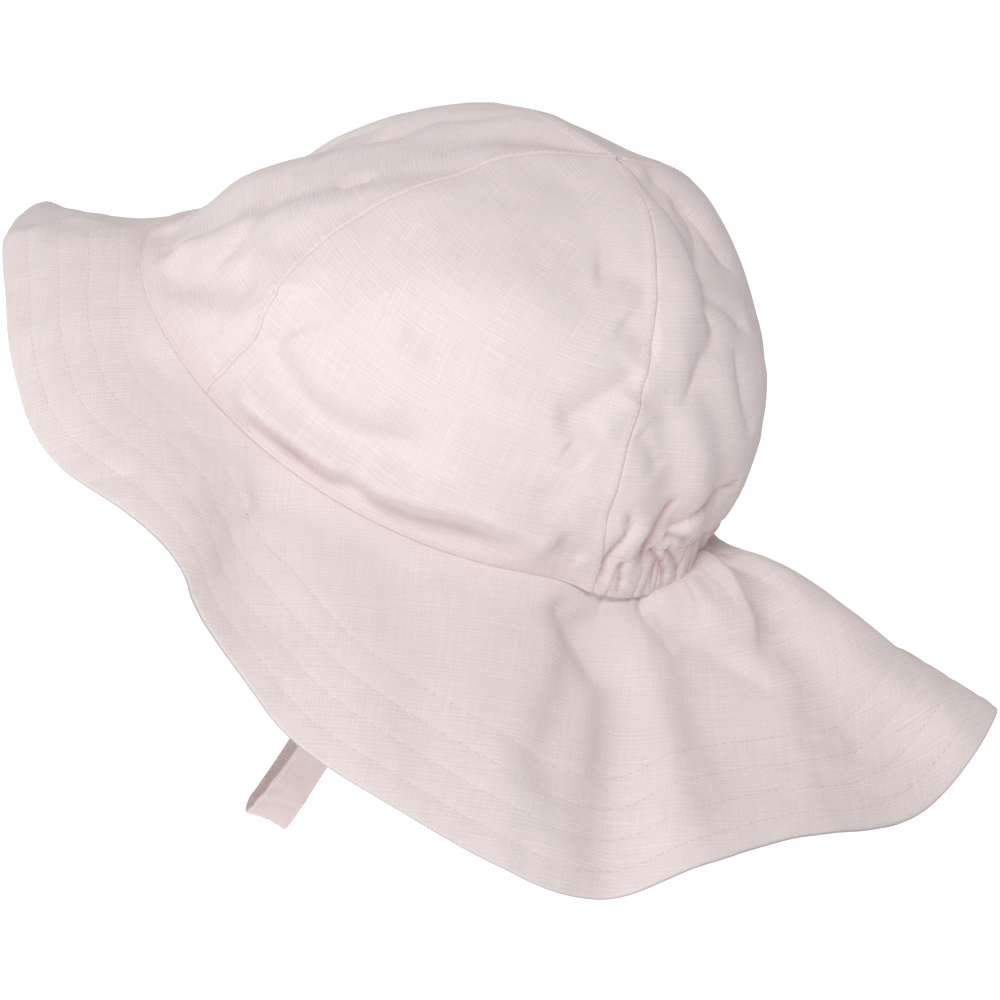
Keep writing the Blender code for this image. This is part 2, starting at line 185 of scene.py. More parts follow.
# Folds low on the crown. Places are (direction, height over the opening).
LOW_FOLDS = (
    (4.2, 3.1, 1.8, 0, ((60, 9.4), (66, 9.0), (73, 8.8), (78, 8.6), (83, 8.8), (89, 9.0))),
    (4.8, 2.8, 2, 0, ((93, 11.0), (99, 12.4), (105, 13.4), (111, 14.0), (118, 13.6), (123, 11.5))),
    (
        *(3.6, -3.0, 1.8, 0),
        ((66, 2.8), (76, 3.0), (83, 3.4), (90, 4.8), (98, 4.8), (106, 6.2), (114, 7.0), (124, 5.0)),
    ),
    (3.4, -1.2, 1.8, 0, ((66, 2.8), (72, 3.0), (79, 3.2))),
    (6.0, -4.4, 2, 0, ((62, 21.5), (68, 18.0), (76, 15.6), (84, 16.6), (93, 20.5))),
    (8.0, -2.0, 2, 0, ((93, 27.0), (103, 30.0), (113, 29.0), (122, 27.0))),
    (2.4, -1.2, 1.4, 0, ((126, 13.0), (130, 9.5), (134, 6.0))),
    (5.0, -1.2, 2, 0, ((122, 22.0), (127, 21.6), (133, 20.0))),
    (6.0, 1.5, 2, 0, ((-70, 11.0), (-92, 11.5), (-110, 13.0))),
    (3.8, -1.6, 1.8, 0, ((-72, 5.0), (-90, 6.5), (-112, 7.0))),
    (5.0, -1.4, 1.8, 0, ((-66, 17.0), (-60, 13.0), (-52, 10.0))),
    (5.0, -1.2, 1.8, 0, ((30, 9.0), (18, 7.0), (4, 8.0))),
)

# Gathers and rolls at the nape. A place below 0 is the distance out from the seam over the flap.
NAPE_FOLDS = (
    (1.6, -1.6, 1.2, 0.2, ((173, 24.6), (169, 23.8), (161, 20.9), (155, 17.3), (151, 13.7))),
    (1.6, -1.7, 1.2, 0.3, ((150.5, 26.0), (149, 21.8), (148, 13.8), (147.7, 9.0), (148.5, 4.6))),
    (4.5, -0.9, 2, 0, ((152, 20.0), (149, 14.0), (146.5, 10.0))),
    (1.7, -1.9, 1.4, 0, ((151.5, 12.6), (156, 11.8), (160.5, 10.9))),
    (3.4, 1.2, 2, 0, ((156, 14.6), (161, 15.6), (167, 17.5))),
    (3.0, 0.9, 2, 0, ((143.5, 17.0), (143.5, 12.0), (145, 7.0))),
    (1.2, -1.9, 1.15, 0, ((136.5, 24.0), (140, 17.2), (139, 9.0), (139.3, 4.8), (141.5, 0.8))),
    (1.2, -1.7, 1.15, 0, ((142.5, 7.5), (143.3, 4.6), (145.5, 0.8))),
    (1.1, -1.5, 1.15, 0, ((152.3, 5.4), (153, 3.4), (153.4, 1.2))),
    (1.2, -1.8, 1.15, 0, ((149, 9.4), (151.5, 7.0), (155, 4.0), (158.5, 0.8))),
    (1.2, -1.7, 1.15, 0, ((153.5, 9.0), (156, 6.8), (159.5, 4.0), (162.5, 1.0))),
    (1.8, -1.4, 1.2, 0, ((169, 10.0), (170, 4.0), (171, -5.0))),
    (1.8, -1.4, 1.2, 0, ((176, 11.0), (175, 5.0), (176, -6.0))),
    (1.8, -1.5, 1.2, 0, ((-176, 10.0), (-177, 4.0), (-176, -6.0))),
    (1.8, -1.4, 1.2, 0, ((-168, 12.0), (-169, 5.0), (-168, -6.0))),
    (1.8, -1.5, 1.2, 0, ((-158, 14.0), (-161, 6.0), (-161, -5.0))),
    (1.8, -1.6, 1.2, 0, ((-147, 18.0), (-151, 9.0), (-153, -4.0))),
    (1.8, -1.7, 1.2, 0, ((-138, 17.0), (-141, 8.0), (-143, -5.0))),
    (2.4, -1.1, 1.3, 0, ((-150, 13.0), (-156, 17.0), (-165, 22.0))),
)

# Places are (direction, share).
BRIM_FOLDS = (
    # Broad folds, most of them as in the construction.
    (7, -2.6, 2, 0, ((139.8, 0.02), (136.2, 0.32), (132.6, 0.62))),
    (9, -4.0, 2, 0, ((145.9, 0.02), (143.9, 0.53), (141.8, 1.05))),
    (8, 1.6, 2, 0, ((154.0, 0.00), (151.6, 0.40), (149.2, 0.80))),
    (20, 4.5, 2, 0, ((168, 0.05), (167, 0.30), (166, 0.62))),
    (8, -2.8, 2, 0, ((-140.8, 0.02), (-137.0, 0.36), (-133.3, 0.70))),
    (9, -3.8, 2, 0, ((-151.9, 0.02), (-149.0, 0.51), (-146.0, 1.00))),
    (8, -3.4, 2, 0, ((-165.4, 0.10), (-163.3, 0.45), (-161.2, 0.80))),
    (11, -3.0, 2, 0, ((79.6, 0.20), (78.8, 0.62), (77.9, 1.05))),
    (11, -2.6, 2, 0, ((-72.8, 0.20), (-74.5, 0.62), (-76.2, 1.05))),
    # Broad folds of the brim's front and sides.
    (5.0, 1.7, 1.8, 0, ((2, 1.02), (4, 0.84), (3, 0.72), (-2, 0.55), (1, 0.20))),
    (6.0, -1.6, 1.6, 0, ((75, 0.28), (77, 0.20), (80, 0.28), (83, 0.40), (88, 0.60), (92, 0.80))),
    (8.0, 1.4, 1.6, 0, ((80, 0.10), (82, 0.37), (85, 0.52), (88, 0.66), (93, 0.84))),
    (10.0, -3.4, 2, 0, ((75, 0.42), (79, 0.52), (83, 0.62), (87, 0.74))),
    (12.0, 2.0, 2, 0, ((6, 0.02), (7, 0.50), (8, 1.00))),
    (12.0, -1.6, 2, 0, ((44, 0.10), (47, 0.50), (50, 1.00))),
    (12.0, 2.4, 2, 0, ((-11, 0.62), (-13, 0.82), (-15, 1.04))),
    (10.0, 3.4, 2, 0, ((176.5, 0.20), (175.5, 0.42), (174.5, 0.60), (175, 0.90))),
    (5.0, -1.0, 1.8, 0, ((58, 0.46), (62, 0.28), (68, 0.07))),
    (4.0, -0.7, 1.6, 0, ((57, 0.92), (60, 0.82), (64, 0.72))),
    (9.0, -1.2, 2, 0, ((104, 0.20), (112, 0.45), (117, 0.80))),
    (6.0, -1.3, 1.8, 0, ((-76, 0.22), (-83, 0.40), (-92, 0.82))),
    (6.0, -1.0, 1.8, 0, ((-48, 0.15), (-52, 0.45), (-50, 0.80))),
)

# Creases that start close to the seam. Places are (direction, share).
BRIM_CREASES = (
    (8.0, 3.4, 1.3, 0.3, ((173, -0.03), (171.5, 0.08), (170, 0.17), (169, 0.24), (167, 0.34))),
    (7.0, -2.2, 2, 0, ((178, 0.06), (176, 0.17), (173, 0.28), (172, 0.38))),
    (3.8, -2.2, 1.3, 0.3, ((150.5, -0.03), (152, 0.06), (156, 0.19), (161, 0.28), (164, 0.39), (166, 0.52))),
    (5.0, -1.1, 1.6, 0, ((166, 0.56), (169, 0.66), (168, 0.80))),
    (5.0, -3.0, 1.6, 0, ((131, 0.05), (134, 0.12), (138, 0.18), (141, 0.25), (143, 0.36))),
    (6.0, 1.6, 2, 0, ((146, 0.10), (147, 0.20), (148, 0.30))),
    (3.0, -1.4, 1.3, 0, ((151, 0.07), (153, 0.18), (156, 0.28))),
    (3.0, -1.6, 1.3, 0, ((174, 0.07), (175, 0.14), (176, 0.23), (175, 0.32))),
    (4.0, -1.5, 1.5, 0, ((167, 0.31), (171, 0.34), (174, 0.39), (177, 0.50))),
    (5.0, 1.4, 2, 0, ((162, 0.08), (163, 0.14), (164, 0.20))),
    (3.0, -0.8, 1.5, 0, ((164, 0.66), (166, 0.69), (168, 0.71))),
    (3.0, -0.8, 1.5, 0, ((163, 0.80), (165, 0.82), (167, 0.85))),
    (5.0, -1.4, 1.6, 0, ((-176, 0.57), (-180, 0.70), (179, 0.97))),
    (4.0, -2.0, 1.3, 0.2, ((-170, 0.05), (-168, 0.20), (-163, 0.36))),
    (4.0, -2.0, 1.3, 0.2, ((-155, 0.03), (-158, 0.25), (-166, 0.50))),
    (2.0, -1.3, 1.3, 0, ((178, 0.03), (179.5, 0.07), (181, 0.12))),
)

# Folds start this far from the seam: up the crown in millimetres, over the brim as a share of its width.
CROWN_FOLD_START = 9.0
LOW_FOLD_START = 2.5
BRIM_FOLD_START = 0.12
CREASE_START = 0.04
NAPE_FOLD_TURN = 3.0
FOLD_SAMPLES = 22
FOLD_ENDS = 0.18
FOLD_LIMIT = 3.2

# Crumpling of the linen: the size of each pattern of dents, and its height. The ridged patterns have soft
# creases, which run where the noise is 0.
CRUMPLES = (
    ("size", "height", "ridged"),
    (34.0, 1.2, 0),
    (16.0, 0.50, 0),
    (23.0, 0.45, 1),
    (9.5, 0.16, 1),
)
CREASE_SOFTNESS = 0.012
CREASE_LEVEL = 0.45
CREASE_STEEPNESS = 2.0
CREASE_POWER = 0.375
CRUMPLE_AT_SEAM = 0.25
BRIM_CRUMPLE = 0.85
BRIM_CRUMPLE_START = 8.0

# The gathers at the nape. Waves, each (pace, start, size), move them sideways and make them uneven.
TUCKS = 19
TUCK_DEPTH = 0.80
TUCK_SHARPNESS = 0.45
TUCK_FADE_UP = 12.0
TUCK_FADE_OUT = 0.15
TUCK_FADE_SIDEWAYS = 0.08
TUCK_STRAYS = ((41.0, 0.0, 0.34), (87.0, 2.0, 0.17))
TUCK_UNEVENNESS = (29.0, 1.0, 0.35)
# The painted shade in a gather begins at this depth and grows over this range.
PIT_START = 0.7
PIT_RANGE = 1.5
CASING_HEIGHT = 8.0
CASING_CLIMB_LIMIT = 0.6
CASING_PUFF = 0.7
CASING_SETTLE = 2.5
CASING_LIP = 0.2
CASING_FULLNESS = 1.5
CASING_TINT = 0.8
BRIM_TUCK_START = 0.05

# At the left of the nape the crown's edge bulges out over the flap.
BULGE_OUT = 6.0
BULGE_PLACE = 154.0
BULGE_SPREAD = 19.0
BULGE_HEIGHT = 8.0
BULGE_FLAP = 14.0

# Seams: a groove, a fine ridge beside it whose paler colour is a painted highlight, the turned-in cloth, and
# the strip of doubled cloth along the crown's edge.
GROOVE_DEPTH = 0.16
GROOVE_WIDTH = 0.5
RIDGE_HEIGHT = 0.05
RIDGE_PLACE = 0.75
RIDGE_WIDTH = 0.35
ALLOWANCE_WIDTH = 2.4
ALLOWANCE_HEIGHT = 0.18
ALLOWANCE_SOFTNESS = 1.2
ALLOWANCE_TINT = 0.7
STRIP_HEIGHT = 6.5
STRIP_RISE = 0.15
STRIP_SOFTNESS = 2.0
BRIM_SEAM_TINT = 0.5
BRIM_SEAM_WIDTH = 1.4
STITCH_LINE = 1.2

# Rows of stitches round the brim, measured in from its edge.
STITCH_ROWS = (7.0, 15.0, 23.0, 31.0)
STITCH_PITCH = 2.3
SEAM_STITCH_PITCH = 1.95
STITCH_LENGTH_SHARE = 0.72
STITCH_LENGTHS = (0.92, 1.06)
STITCH_SKEW = 0.05
STITCH_STRAY = 0.06
STITCH_RADIUS = 0.12
STITCH_SIDES = 4
STITCH_BREADTH = 1.15
STITCH_LIFT = 0.02
STITCH_RINGS = (
    ("place", "fullness", "lift"),
    (-0.50, 0.40, -0.22),
    (-0.30, 1.0, 0.0),
    (0.30, 1.0, 0.0),
    (0.50, 0.40, -0.22),
)
HOLE_RADIUS = 0.30
HOLE_SIDES = 6
HOLE_SINK = 0.06
HOLE_RISE = 0.05
QUILT_DEPTH = 0.18
QUILT_WIDTH = 1.2
PUCKER_HEIGHT = 0.24
PUCKER_SIZE = 5.0
PUCKER_RING = (110.0, 140.0)
PUCKER_STRETCH = 0.35
PUCKER_END = STITCH_ROWS[-1] + 4.0
PUCKER_FADE = 6.0

# The brim's rounded edge, turned from its upper side to its lower one, and the grey line along it, which is
# painted shade.
EDGE_ANGLES = (18, 36, 54, 72, 90, 108, 126, 144, 162)
RIM_ANGLE = 92.0
RIM_SPREAD = 42.0

# How finely the cloth is cut up into faces.
CROWN_STEP = 1.05
NAPE_STEP = 0.62
NAPE_COLUMNS = 168
BRIM_COLUMNS = 330
BRIM_INNER_ROWS = 34
BRIM_CROWDING = 1.25
CROWN_CROWDING = 2.6
FINE_STEPS = 260
NORMAL_TURN = 1.0
CROWN_NORMAL_STEP = 0.01
BRIM_NORMAL_STEP = 0.02
HALVINGS = 34

# Rows and columns of faces, in millimetres from an edge: low on a panel, beside its seams, on the casing and
# above it, on the brim's margin inside the crown, at the brim's edge, and beside and between its stitches.
PANEL_ROWS = (0.0, 0.3, 0.6, 0.9, 1.3, 1.9, 2.6, 3.4, 4.2, 5.0, 5.7, 6.3, 6.9, 7.6, 8.4)
PANEL_COLUMNS = (0.0, 0.35, 0.7, 1.1, 1.6, 2.2, 2.8, 3.4, 4.2)
EVEN_COLUMNS_START = 5.2
CASING_ROWS = (0.0, 0.3, 0.7, 1.2, 1.8, 2.4, 3.1, 3.8, 4.5, 5.2, 5.8, 6.3, 6.8, 7.2, 7.6, 7.9)
CASING_ROWS_ABOVE = (0.3, 0.9, 1.7, 3.0)
MARGIN_ROWS = (4.5, 3.0, 1.5, 0.2, 0.0)
EDGE_ROWS = (BRIM_WALL / 2.0, 1.3, 2.2, 3.4, 4.6)
ROWS_BESIDE_STITCHES = (-1.5, -0.8, -0.35, 0.0, 0.35, 0.8, 1.5)
ROWS_BETWEEN_STITCHES = (2.6, 3.9, 5.3)

# The chin strap.
STRAP_WIDTH = 12.0
STRAP_DROP = 131.0
STRAP_HALF_SPAN = 61.9
STRAP_FOOT_Y = 18.3
STRAP_SIDE_Y = 27.0
STRAP_CATENARY = 27.0
STRAP_TAIL = 9.0
STRAP_STEPS = 110
STRAP_LEFT_TWIST = 38.0
STRAP_RIGHT_TWIST = 10.0
STRAP_TWIST_END = 0.85
STRAP_COLUMNS = 21
STRAP_CUP = 0.7
STRAP_WRINKLES = (("size", "height", "seed"), (9.0, 0.8, 12), (4.0, 0.25, 13))
STRAP_STITCH_INSET = 2.0
STRAP_QUILT_DEPTH = 0.16
STRAP_QUILT_WIDTH = 0.6
STRAP_SQUARENESS = 7

# The brim's flat pattern, a ring sector whose grain runs straight across it.
PATTERN_TURN = 0.70
PATTERN_INNER_RADIUS = 107.0

# What each piece was cut to, seam to seam, in millimetres, with its area in square millimetres. The brim's
# cut is a ring sector of 252 degrees, between radii of 107 and about 199.
CUTS = (
    ("node", "slot", "width", "length", "area", "held", "rests_on"),
    ("crown_front", "linen", 142, 135, 10000, "draped", ("crown_left", "crown_right")),
    ("crown_left", "linen", 118, 135, 10700, "draped", ("crown_front", "crown_back")),
    ("crown_right", "linen", 118, 135, 10700, "draped", ("crown_front", "crown_back")),
    ("crown_back", "linen", 109, 116, 9100, "draped", ("crown_left", "crown_right")),
    ("nape_casing", "double_linen", 142, 11, 1562, "gathered", ("crown_back", "brim")),
    ("brim", "linen", 400, 320, 45600, "hung", ("crown_front", "crown_left", "crown_right", "nape_casing")),
    ("chin_strap", "double_linen", 12, 308, 3696, "hung", ("crown_left", "crown_right")),
)

# Linen: its thread spacing and colours, with the colours that paint shade and highlights, and the light.
THREAD = 0.56
RIB = 1.08
LINEN = (0.850, 0.765, 0.755, 1.0)
LINEN_DOUBLE = (0.840, 0.738, 0.728, 1.0)
# The strap's colour is darker than the hat's linen: painted shade, for the shade it hangs in under the brim.
LINEN_STRAP_PAINTED_SHADE = (0.66, 0.56, 0.545, 1.0)
# Painted highlight: a paler linen on the seams' fine ridges.
LINEN_RIDGE_HIGHLIGHT = (0.90, 0.79, 0.775, 1.0)
# Painted shade: a darker, pinker linen in the deepest gathers.
LINEN_PIT_SHADE = (0.74, 0.52, 0.53, 1.0)
# Painted shade: the grey line along the brim's rounded edge.
RIM_SHADE_GREY = (0.38, 0.36, 0.38, 1.0)
MARK_COLOURS = (
    ("mark", "strength", "colour"),
    # Painted shade in the deepest gathers.
    ("pit", 0.85, LINEN_PIT_SHADE),
    # Painted shade along the brim's edge.
    ("rim_shade", 0.9, RIM_SHADE_GREY),
    # Painted highlight on the seams' fine ridges.
    ("ridge", 0.5, LINEN_RIDGE_HIGHLIGHT),
)
STREAK_TONE = 0.14
WEAVE_TONE = 0.028
SLUB_TONE = 0.06
MOTTLE_TONE = 0.06
THREAD_COLOUR = (0.86, 0.79, 0.78, 1.0)
# Painted shade: the darker colour of the needle holes' domes.
HOLE_SHADE_COLOUR = (0.71, 0.585, 0.58, 1.0)
FLOOR_COLOUR = (0.95, 0.95, 0.95, 1.0)
FLOOR_DROP = 0.34
FLOOR_COLOUR_GLOW = (0.98, 1.0, 1.0, 1.0)
FLOOR_GLOW = 0.70
WORLD_COLOUR = (1.0, 0.935, 0.94, 1.0)
WORLD_LIGHT = 0.34
KEY_POWER = 16.2
KEY_SIZE = 0.8
KEY_DISTANCE = 1.8
KEY_LIFT = 0.50


def unit(vectors):
    return vectors / np.maximum(np.linalg.norm(vectors, axis=-1, keepdims=True), 1e-9)


def column(table, name):
    names, *rows = table
    return np.array([row[names.index(name)] for row in rows], float)


def on_curve(places, values, slopes, place):
    """Values at places on a smooth curve that has these values and slopes at its own places."""
    after = np.clip(np.searchsorted(places, place), 1, len(places) - 1)
    before = after - 1
    span = places[after] - places[before]
    t = (place - places[before]) / span
    start = (1 + 2 * t) * (1 - t) ** 2 * values[before] + t * (1 - t) ** 2 * span * slopes[before]
    end = t * t * (3 - 2 * t) * values[after] + t * t * (t - 1) * span * slopes[after]
    return start + end


def eased(table, name, place):
    """A column's values at places in the table, on a smooth curve through its rows."""
    places, values = column(table, table[0][0]), column(table, name)
    slopes = np.zeros(len(places))
    slopes[1:-1] = (values[2:] - values[:-2]) / (places[2:] - places[:-2])
    return on_curve(places, values, slopes, np.clip(place, places[0], places[-1]))


def signed(direction):
    """A direction from the front, from -180 to 180 degrees."""
    return (direction + 180.0) % 360.0 - 180.0


def smooth(values):
    values = np.clip(values, 0.0, 1.0)
    return values * values * (3.0 - 2.0 * values)


def hill(distance, width, power=2):
    """A rise of height 1 at a distance of 0, which fades over a width."""
    return np.exp(-((distance / width) ** power))


def points_of(x, y, z):
    return np.stack(np.broadcast_arrays(x, y, z), -1)


def opening_point(direction):
    turn = np.radians(direction)
    return points_of(
        OPENING_HALF_WIDTH * np.sin(turn),
        -OPENING_HALF_LENGTH * np.cos(turn),
        -OPENING_DIP * np.sin(turn) ** 2,
    )


def bare_crown(direction, climb):
    """The crown without folds."""
    direction, climb = np.broadcast_arrays(direction, climb)
    folded = np.abs(signed(direction))
    taper, rise, hump, puff = (eased(CROWN_LINES, name, folded) for name in CROWN_LINES[0][1:])
    foot = opening_point(direction)
    quarter = climb * math.pi / 2.0
    inward = np.maximum(np.cos(quarter), 0.0) ** taper
    upward = np.maximum(np.sin(quarter), 0.0) ** rise
    out = (foot[..., :2] - APEX[:2]) * inward[..., None]
    height = (APEX[2] - foot[..., 2]) * upward
    swell = puff * (1.0 - np.exp(-height / PUFF_START)) * hill(height, PUFF_REACH)
    length = np.linalg.norm(out, axis=-1)
    out = out * (1.0 + np.where(length > 1.0, swell, 0.0) / np.maximum(length, 1.0))[..., None]
    z = foot[..., 2] + height + hump * np.sin(math.pi * climb**HUMP_PLACE) ** 2
    return points_of(out[..., 0], out[..., 1] + APEX[1], z)


def crown_normal(direction, climb):
    low, high = np.maximum(climb - CROWN_NORMAL_STEP, 0.0), np.minimum(climb + CROWN_NORMAL_STEP, 1.0)
    along = bare_crown(direction + NORMAL_TURN, climb) - bare_crown(direction - NORMAL_TURN, climb)
    up = bare_crown(direction, high) - bare_crown(direction, low)
    return unit(np.cross(along, up))


def climb_at(direction, height):
    """The climb at which the crown is this high over the opening."""
    low = np.zeros(np.shape(direction))
    high = np.full(np.shape(direction), CASING_CLIMB_LIMIT)
    floor = opening_point(direction)[..., 2]
    for _ in range(HALVINGS):
        middle = (low + high) / 2.0
        short = bare_crown(direction, middle)[..., 2] - floor < height
        low, high = np.where(short, middle, low), np.where(short, high, middle)
    return low


def bare_brim(direction, share):
    """The brim without folds."""
    direction, share = np.broadcast_arrays(direction, share)
    side = signed(direction)
    stray = hill(signed(direction - BRIM_STRAY_PLACE), BRIM_STRAY_SPREAD)
    heading, reach, drop, arch = (
        eased(BRIM_LINES, name, np.abs(side)) + BRIM_STRAY.get(name, 0.0) * stray
        for name in BRIM_LINES[0][1:]
    )
    turn = np.radians(np.copysign(heading, side))
    start = opening_point(direction)
    line = points_of(np.sin(turn) * reach, -np.cos(turn) * reach, -drop)
    flat = line * (1.0, 1.0, 0.0)
    flat_length = np.linalg.norm(flat, axis=-1, keepdims=True)
    length = np.linalg.norm(line, axis=-1, keepdims=True)
    lift = (points_of(0.0, 0.0, flat_length[..., 0]) - flat * line[..., 2:] / flat_length) / length
    share = share[..., None]
    return start + line * share + lift * arch[..., None] * 4.0 * share * (1.0 - share)


def brim_normal(direction, share):
    low, high = np.maximum(share - BRIM_NORMAL_STEP, 0.0), np.minimum(share + BRIM_NORMAL_STEP, 1.0)
    out = bare_brim(direction, high) - bare_brim(direction, low)
    along = bare_brim(direction + NORMAL_TURN, share) - bare_brim(direction - NORMAL_TURN, share)
    return unit(np.cross(out, along))


def share_at(direction, distance):
    """The share of the brim's width at this distance out from the seam."""
    start = np.linalg.norm(bare_brim(direction, 0.1) - bare_brim(direction, 0.0), axis=-1)
    return 0.1 * distance / start


def near_seam(direction, place):
    """The crown at this height over the opening, or the brim this far out from the seam, below 0."""
    up = bare_crown(direction, climb_at(direction, np.maximum(place, 0.0)))
    out = bare_brim(direction, share_at(direction, np.maximum(-place, 0.0)))
    return np.where((place > 0.0)[:, None], up, out)


def bulge(direction):
    """How far out along the brim the crown's edge lies."""
    return BULGE_OUT * hill(signed(direction - BULGE_PLACE), BULGE_SPREAD, 4)


def bulged(points, direction, height):
    """Points of the crown at a height over the opening, moved out with its edge."""
    out = bare_brim(direction, share_at(direction, bulge(direction))) - opening_point(direction)
    return points + out * (np.clip(1.0 - height / BULGE_HEIGHT, 0.0, 1.0) ** 2)[..., None]


def fold_heights(points, normals, surface, table):
    """What a table's folds add to the height of each point of a surface."""
    height = np.zeros(points.shape[:-1])
    for row in table:
        fold = dict(zip(FOLD_COLUMNS, row))
        places = np.array(fold["places"], float)
        places[:, 0] = places[0, 0] + signed(places[:, 0] - places[0, 0])
        knots = np.arange(len(places), dtype=float)
        fine = np.linspace(0.0, knots[-1], FOLD_SAMPLES)
        slopes = np.gradient(places, axis=0)
        direction, place = (on_curve(knots, places[:, k], slopes[:, k], fine) for k in (0, 1))
        line = surface(direction, place)
        reach = FOLD_LIMIT * fold["width"]
        near = np.all((points > line.min(0) - reach) & (points < line.max(0) + reach), axis=-1)
        p, n = points[near], normals[near]
        nearest = np.full(len(p), np.inf)
        across = np.zeros(len(p))
        along = np.zeros(len(p))
        for i in range(FOLD_SAMPLES - 1):
            segment = line[i + 1] - line[i]
            share = np.clip((p - line[i]) @ segment / max(segment @ segment, 1e-9), 0.0, 1.0)
            away = p - line[i] - share[:, None] * segment
            distance = np.linalg.norm(away, axis=-1)
            side = np.einsum("ij,ij->i", np.cross(segment, away), n)
            closer = distance < nearest
            nearest = np.where(closer, distance, nearest)
            across = np.where(closer, side, across)
            along = np.where(closer, (i + share) / (FOLD_SAMPLES - 1), along)
        width = fold["width"] * np.where(across > 0.0, 1.0 - fold["lean"], 1.0 + fold["lean"])
        ends = smooth(along / FOLD_ENDS) * smooth((1.0 - along) / FOLD_ENDS) if fold["power"] < 2 else 1.0
        height[near] += fold["depth"] * ends * hill(nearest, width, fold["power"])
    return height


def dents(points, size, seed):
    """Smooth noise over points, between about -1 and 1, with features of this size."""
    offset = Vector((seed * 17.3, seed * 5.1, seed * 11.7))
    flat = (points / size).reshape(-1, 3)
    values = [noise.noise(Vector(p) + offset) for p in flat]
    return np.array(values).reshape(points.shape[:-1])


def crumple(points):
    """The linen's small dents and soft creases."""
    height = np.zeros(points.shape[:-1])
    for seed, (size, amount, ridged) in enumerate(CRUMPLES[1:]):
        value = dents(points, size, seed + 1)
        if ridged:
            value = CREASE_LEVEL - CREASE_STEEPNESS * (value**2 + CREASE_SOFTNESS) ** CREASE_POWER
        height += amount * value
    return height


def tuck(direction):
    """How deep the gathers are at a direction: 1 at the bottom of a tuck, and 0 outside the nape."""
    place = (direction % 360.0 - NAPE_EDGE) / (360.0 - 2.0 * NAPE_EDGE)
    inside = (place > 0.0) & (place < 1.0)
    place = np.clip(place, 0.0, 1.0)

    def wave(pace, start, size):
        return size * np.sin(place * pace + start)

    settle = np.minimum(1.0, np.minimum(place, 1.0 - place) / TUCK_FADE_SIDEWAYS)
    strayed = place * TUCKS + wave(*TUCK_STRAYS[0]) + wave(*TUCK_STRAYS[1])
    uneven = 1.0 + wave(*TUCK_UNEVENNESS)
    return inside * settle * uneven * (1.0 - np.abs(np.sin(math.pi * strayed)) ** TUCK_SHARPNESS)


def casing_puff(direction, height):
    """How far the nape's casing bulges between its two seams."""
    within = 180.0 - NAPE_EDGE - np.abs(signed(direction - 180.0))
    up = np.clip(height / CASING_HEIGHT, 0.0, 1.0)
    return CASING_PUFF * np.sin(math.pi * up) ** 0.6 * smooth(within / CASING_SETTLE)


def over_opening(points, direction):
    return points[..., 2] - opening_point(direction)[..., 2]


def pit_mark(gathers):
    """How deep in a gather the cloth lies, from 0 to 1, for the painted shade there."""
    return smooth((-gathers - PIT_START) / PIT_RANGE)


def crown_cloth(direction, climb):
    """The bare crown, its normals, all that lifts or sinks its cloth apart from the seams, and the mark
    for the painted shade in its gathers."""
    points = bare_crown(direction, climb)
    normals = crown_normal(direction, climb)
    height = over_opening(points, direction)
    start = np.clip(height / CROWN_FOLD_START, 0.0, 1.0)
    folds = fold_heights(points, normals, bare_crown, CROWN_FOLDS) * start
    folds += fold_heights(points, normals, near_seam, LOW_FOLDS) * smooth(height / LOW_FOLD_START)
    folds += crumple(points) * (CRUMPLE_AT_SEAM + (1.0 - CRUMPLE_AT_SEAM) * start)
    tip = smooth((PANEL_TIP - climb) / TIP_FADE)
    gathers = fold_heights(points, normals, near_seam, NAPE_FOLDS)
    gathers -= TUCK_DEPTH * tuck(direction) * np.exp(-np.maximum(height, 0.0) / TUCK_FADE_UP)
    return points, normals, folds * tip + gathers, pit_mark(gathers)


def running_length(points, axis=0):
    """The length along a grid of points from its first row, or its first column."""
    steps = np.linalg.norm(np.diff(points, axis=axis), axis=-1)
    start = np.zeros_like(np.take(steps, [0], axis=axis))
    return np.concatenate([start, np.cumsum(steps, axis=axis)], axis=axis)


def point_along(line, lengths, place):
    """A line's value where its running length reaches a place."""
    return np.array([np.interp(place, lengths, line[:, k]) for k in range(3)])


def grid_normals(points, closed):
    """The normals of a grid whose rows go up and whose columns go round with the directions."""
    if closed:
        wide = np.concatenate([points[:, -1:], points, points[:, :1]], axis=1)
        along = np.gradient(wide, axis=1)[:, 1:-1]
    else:
        along = np.gradient(points, axis=1)
    up = np.gradient(points, axis=0)
    return unit(np.cross(along, up))


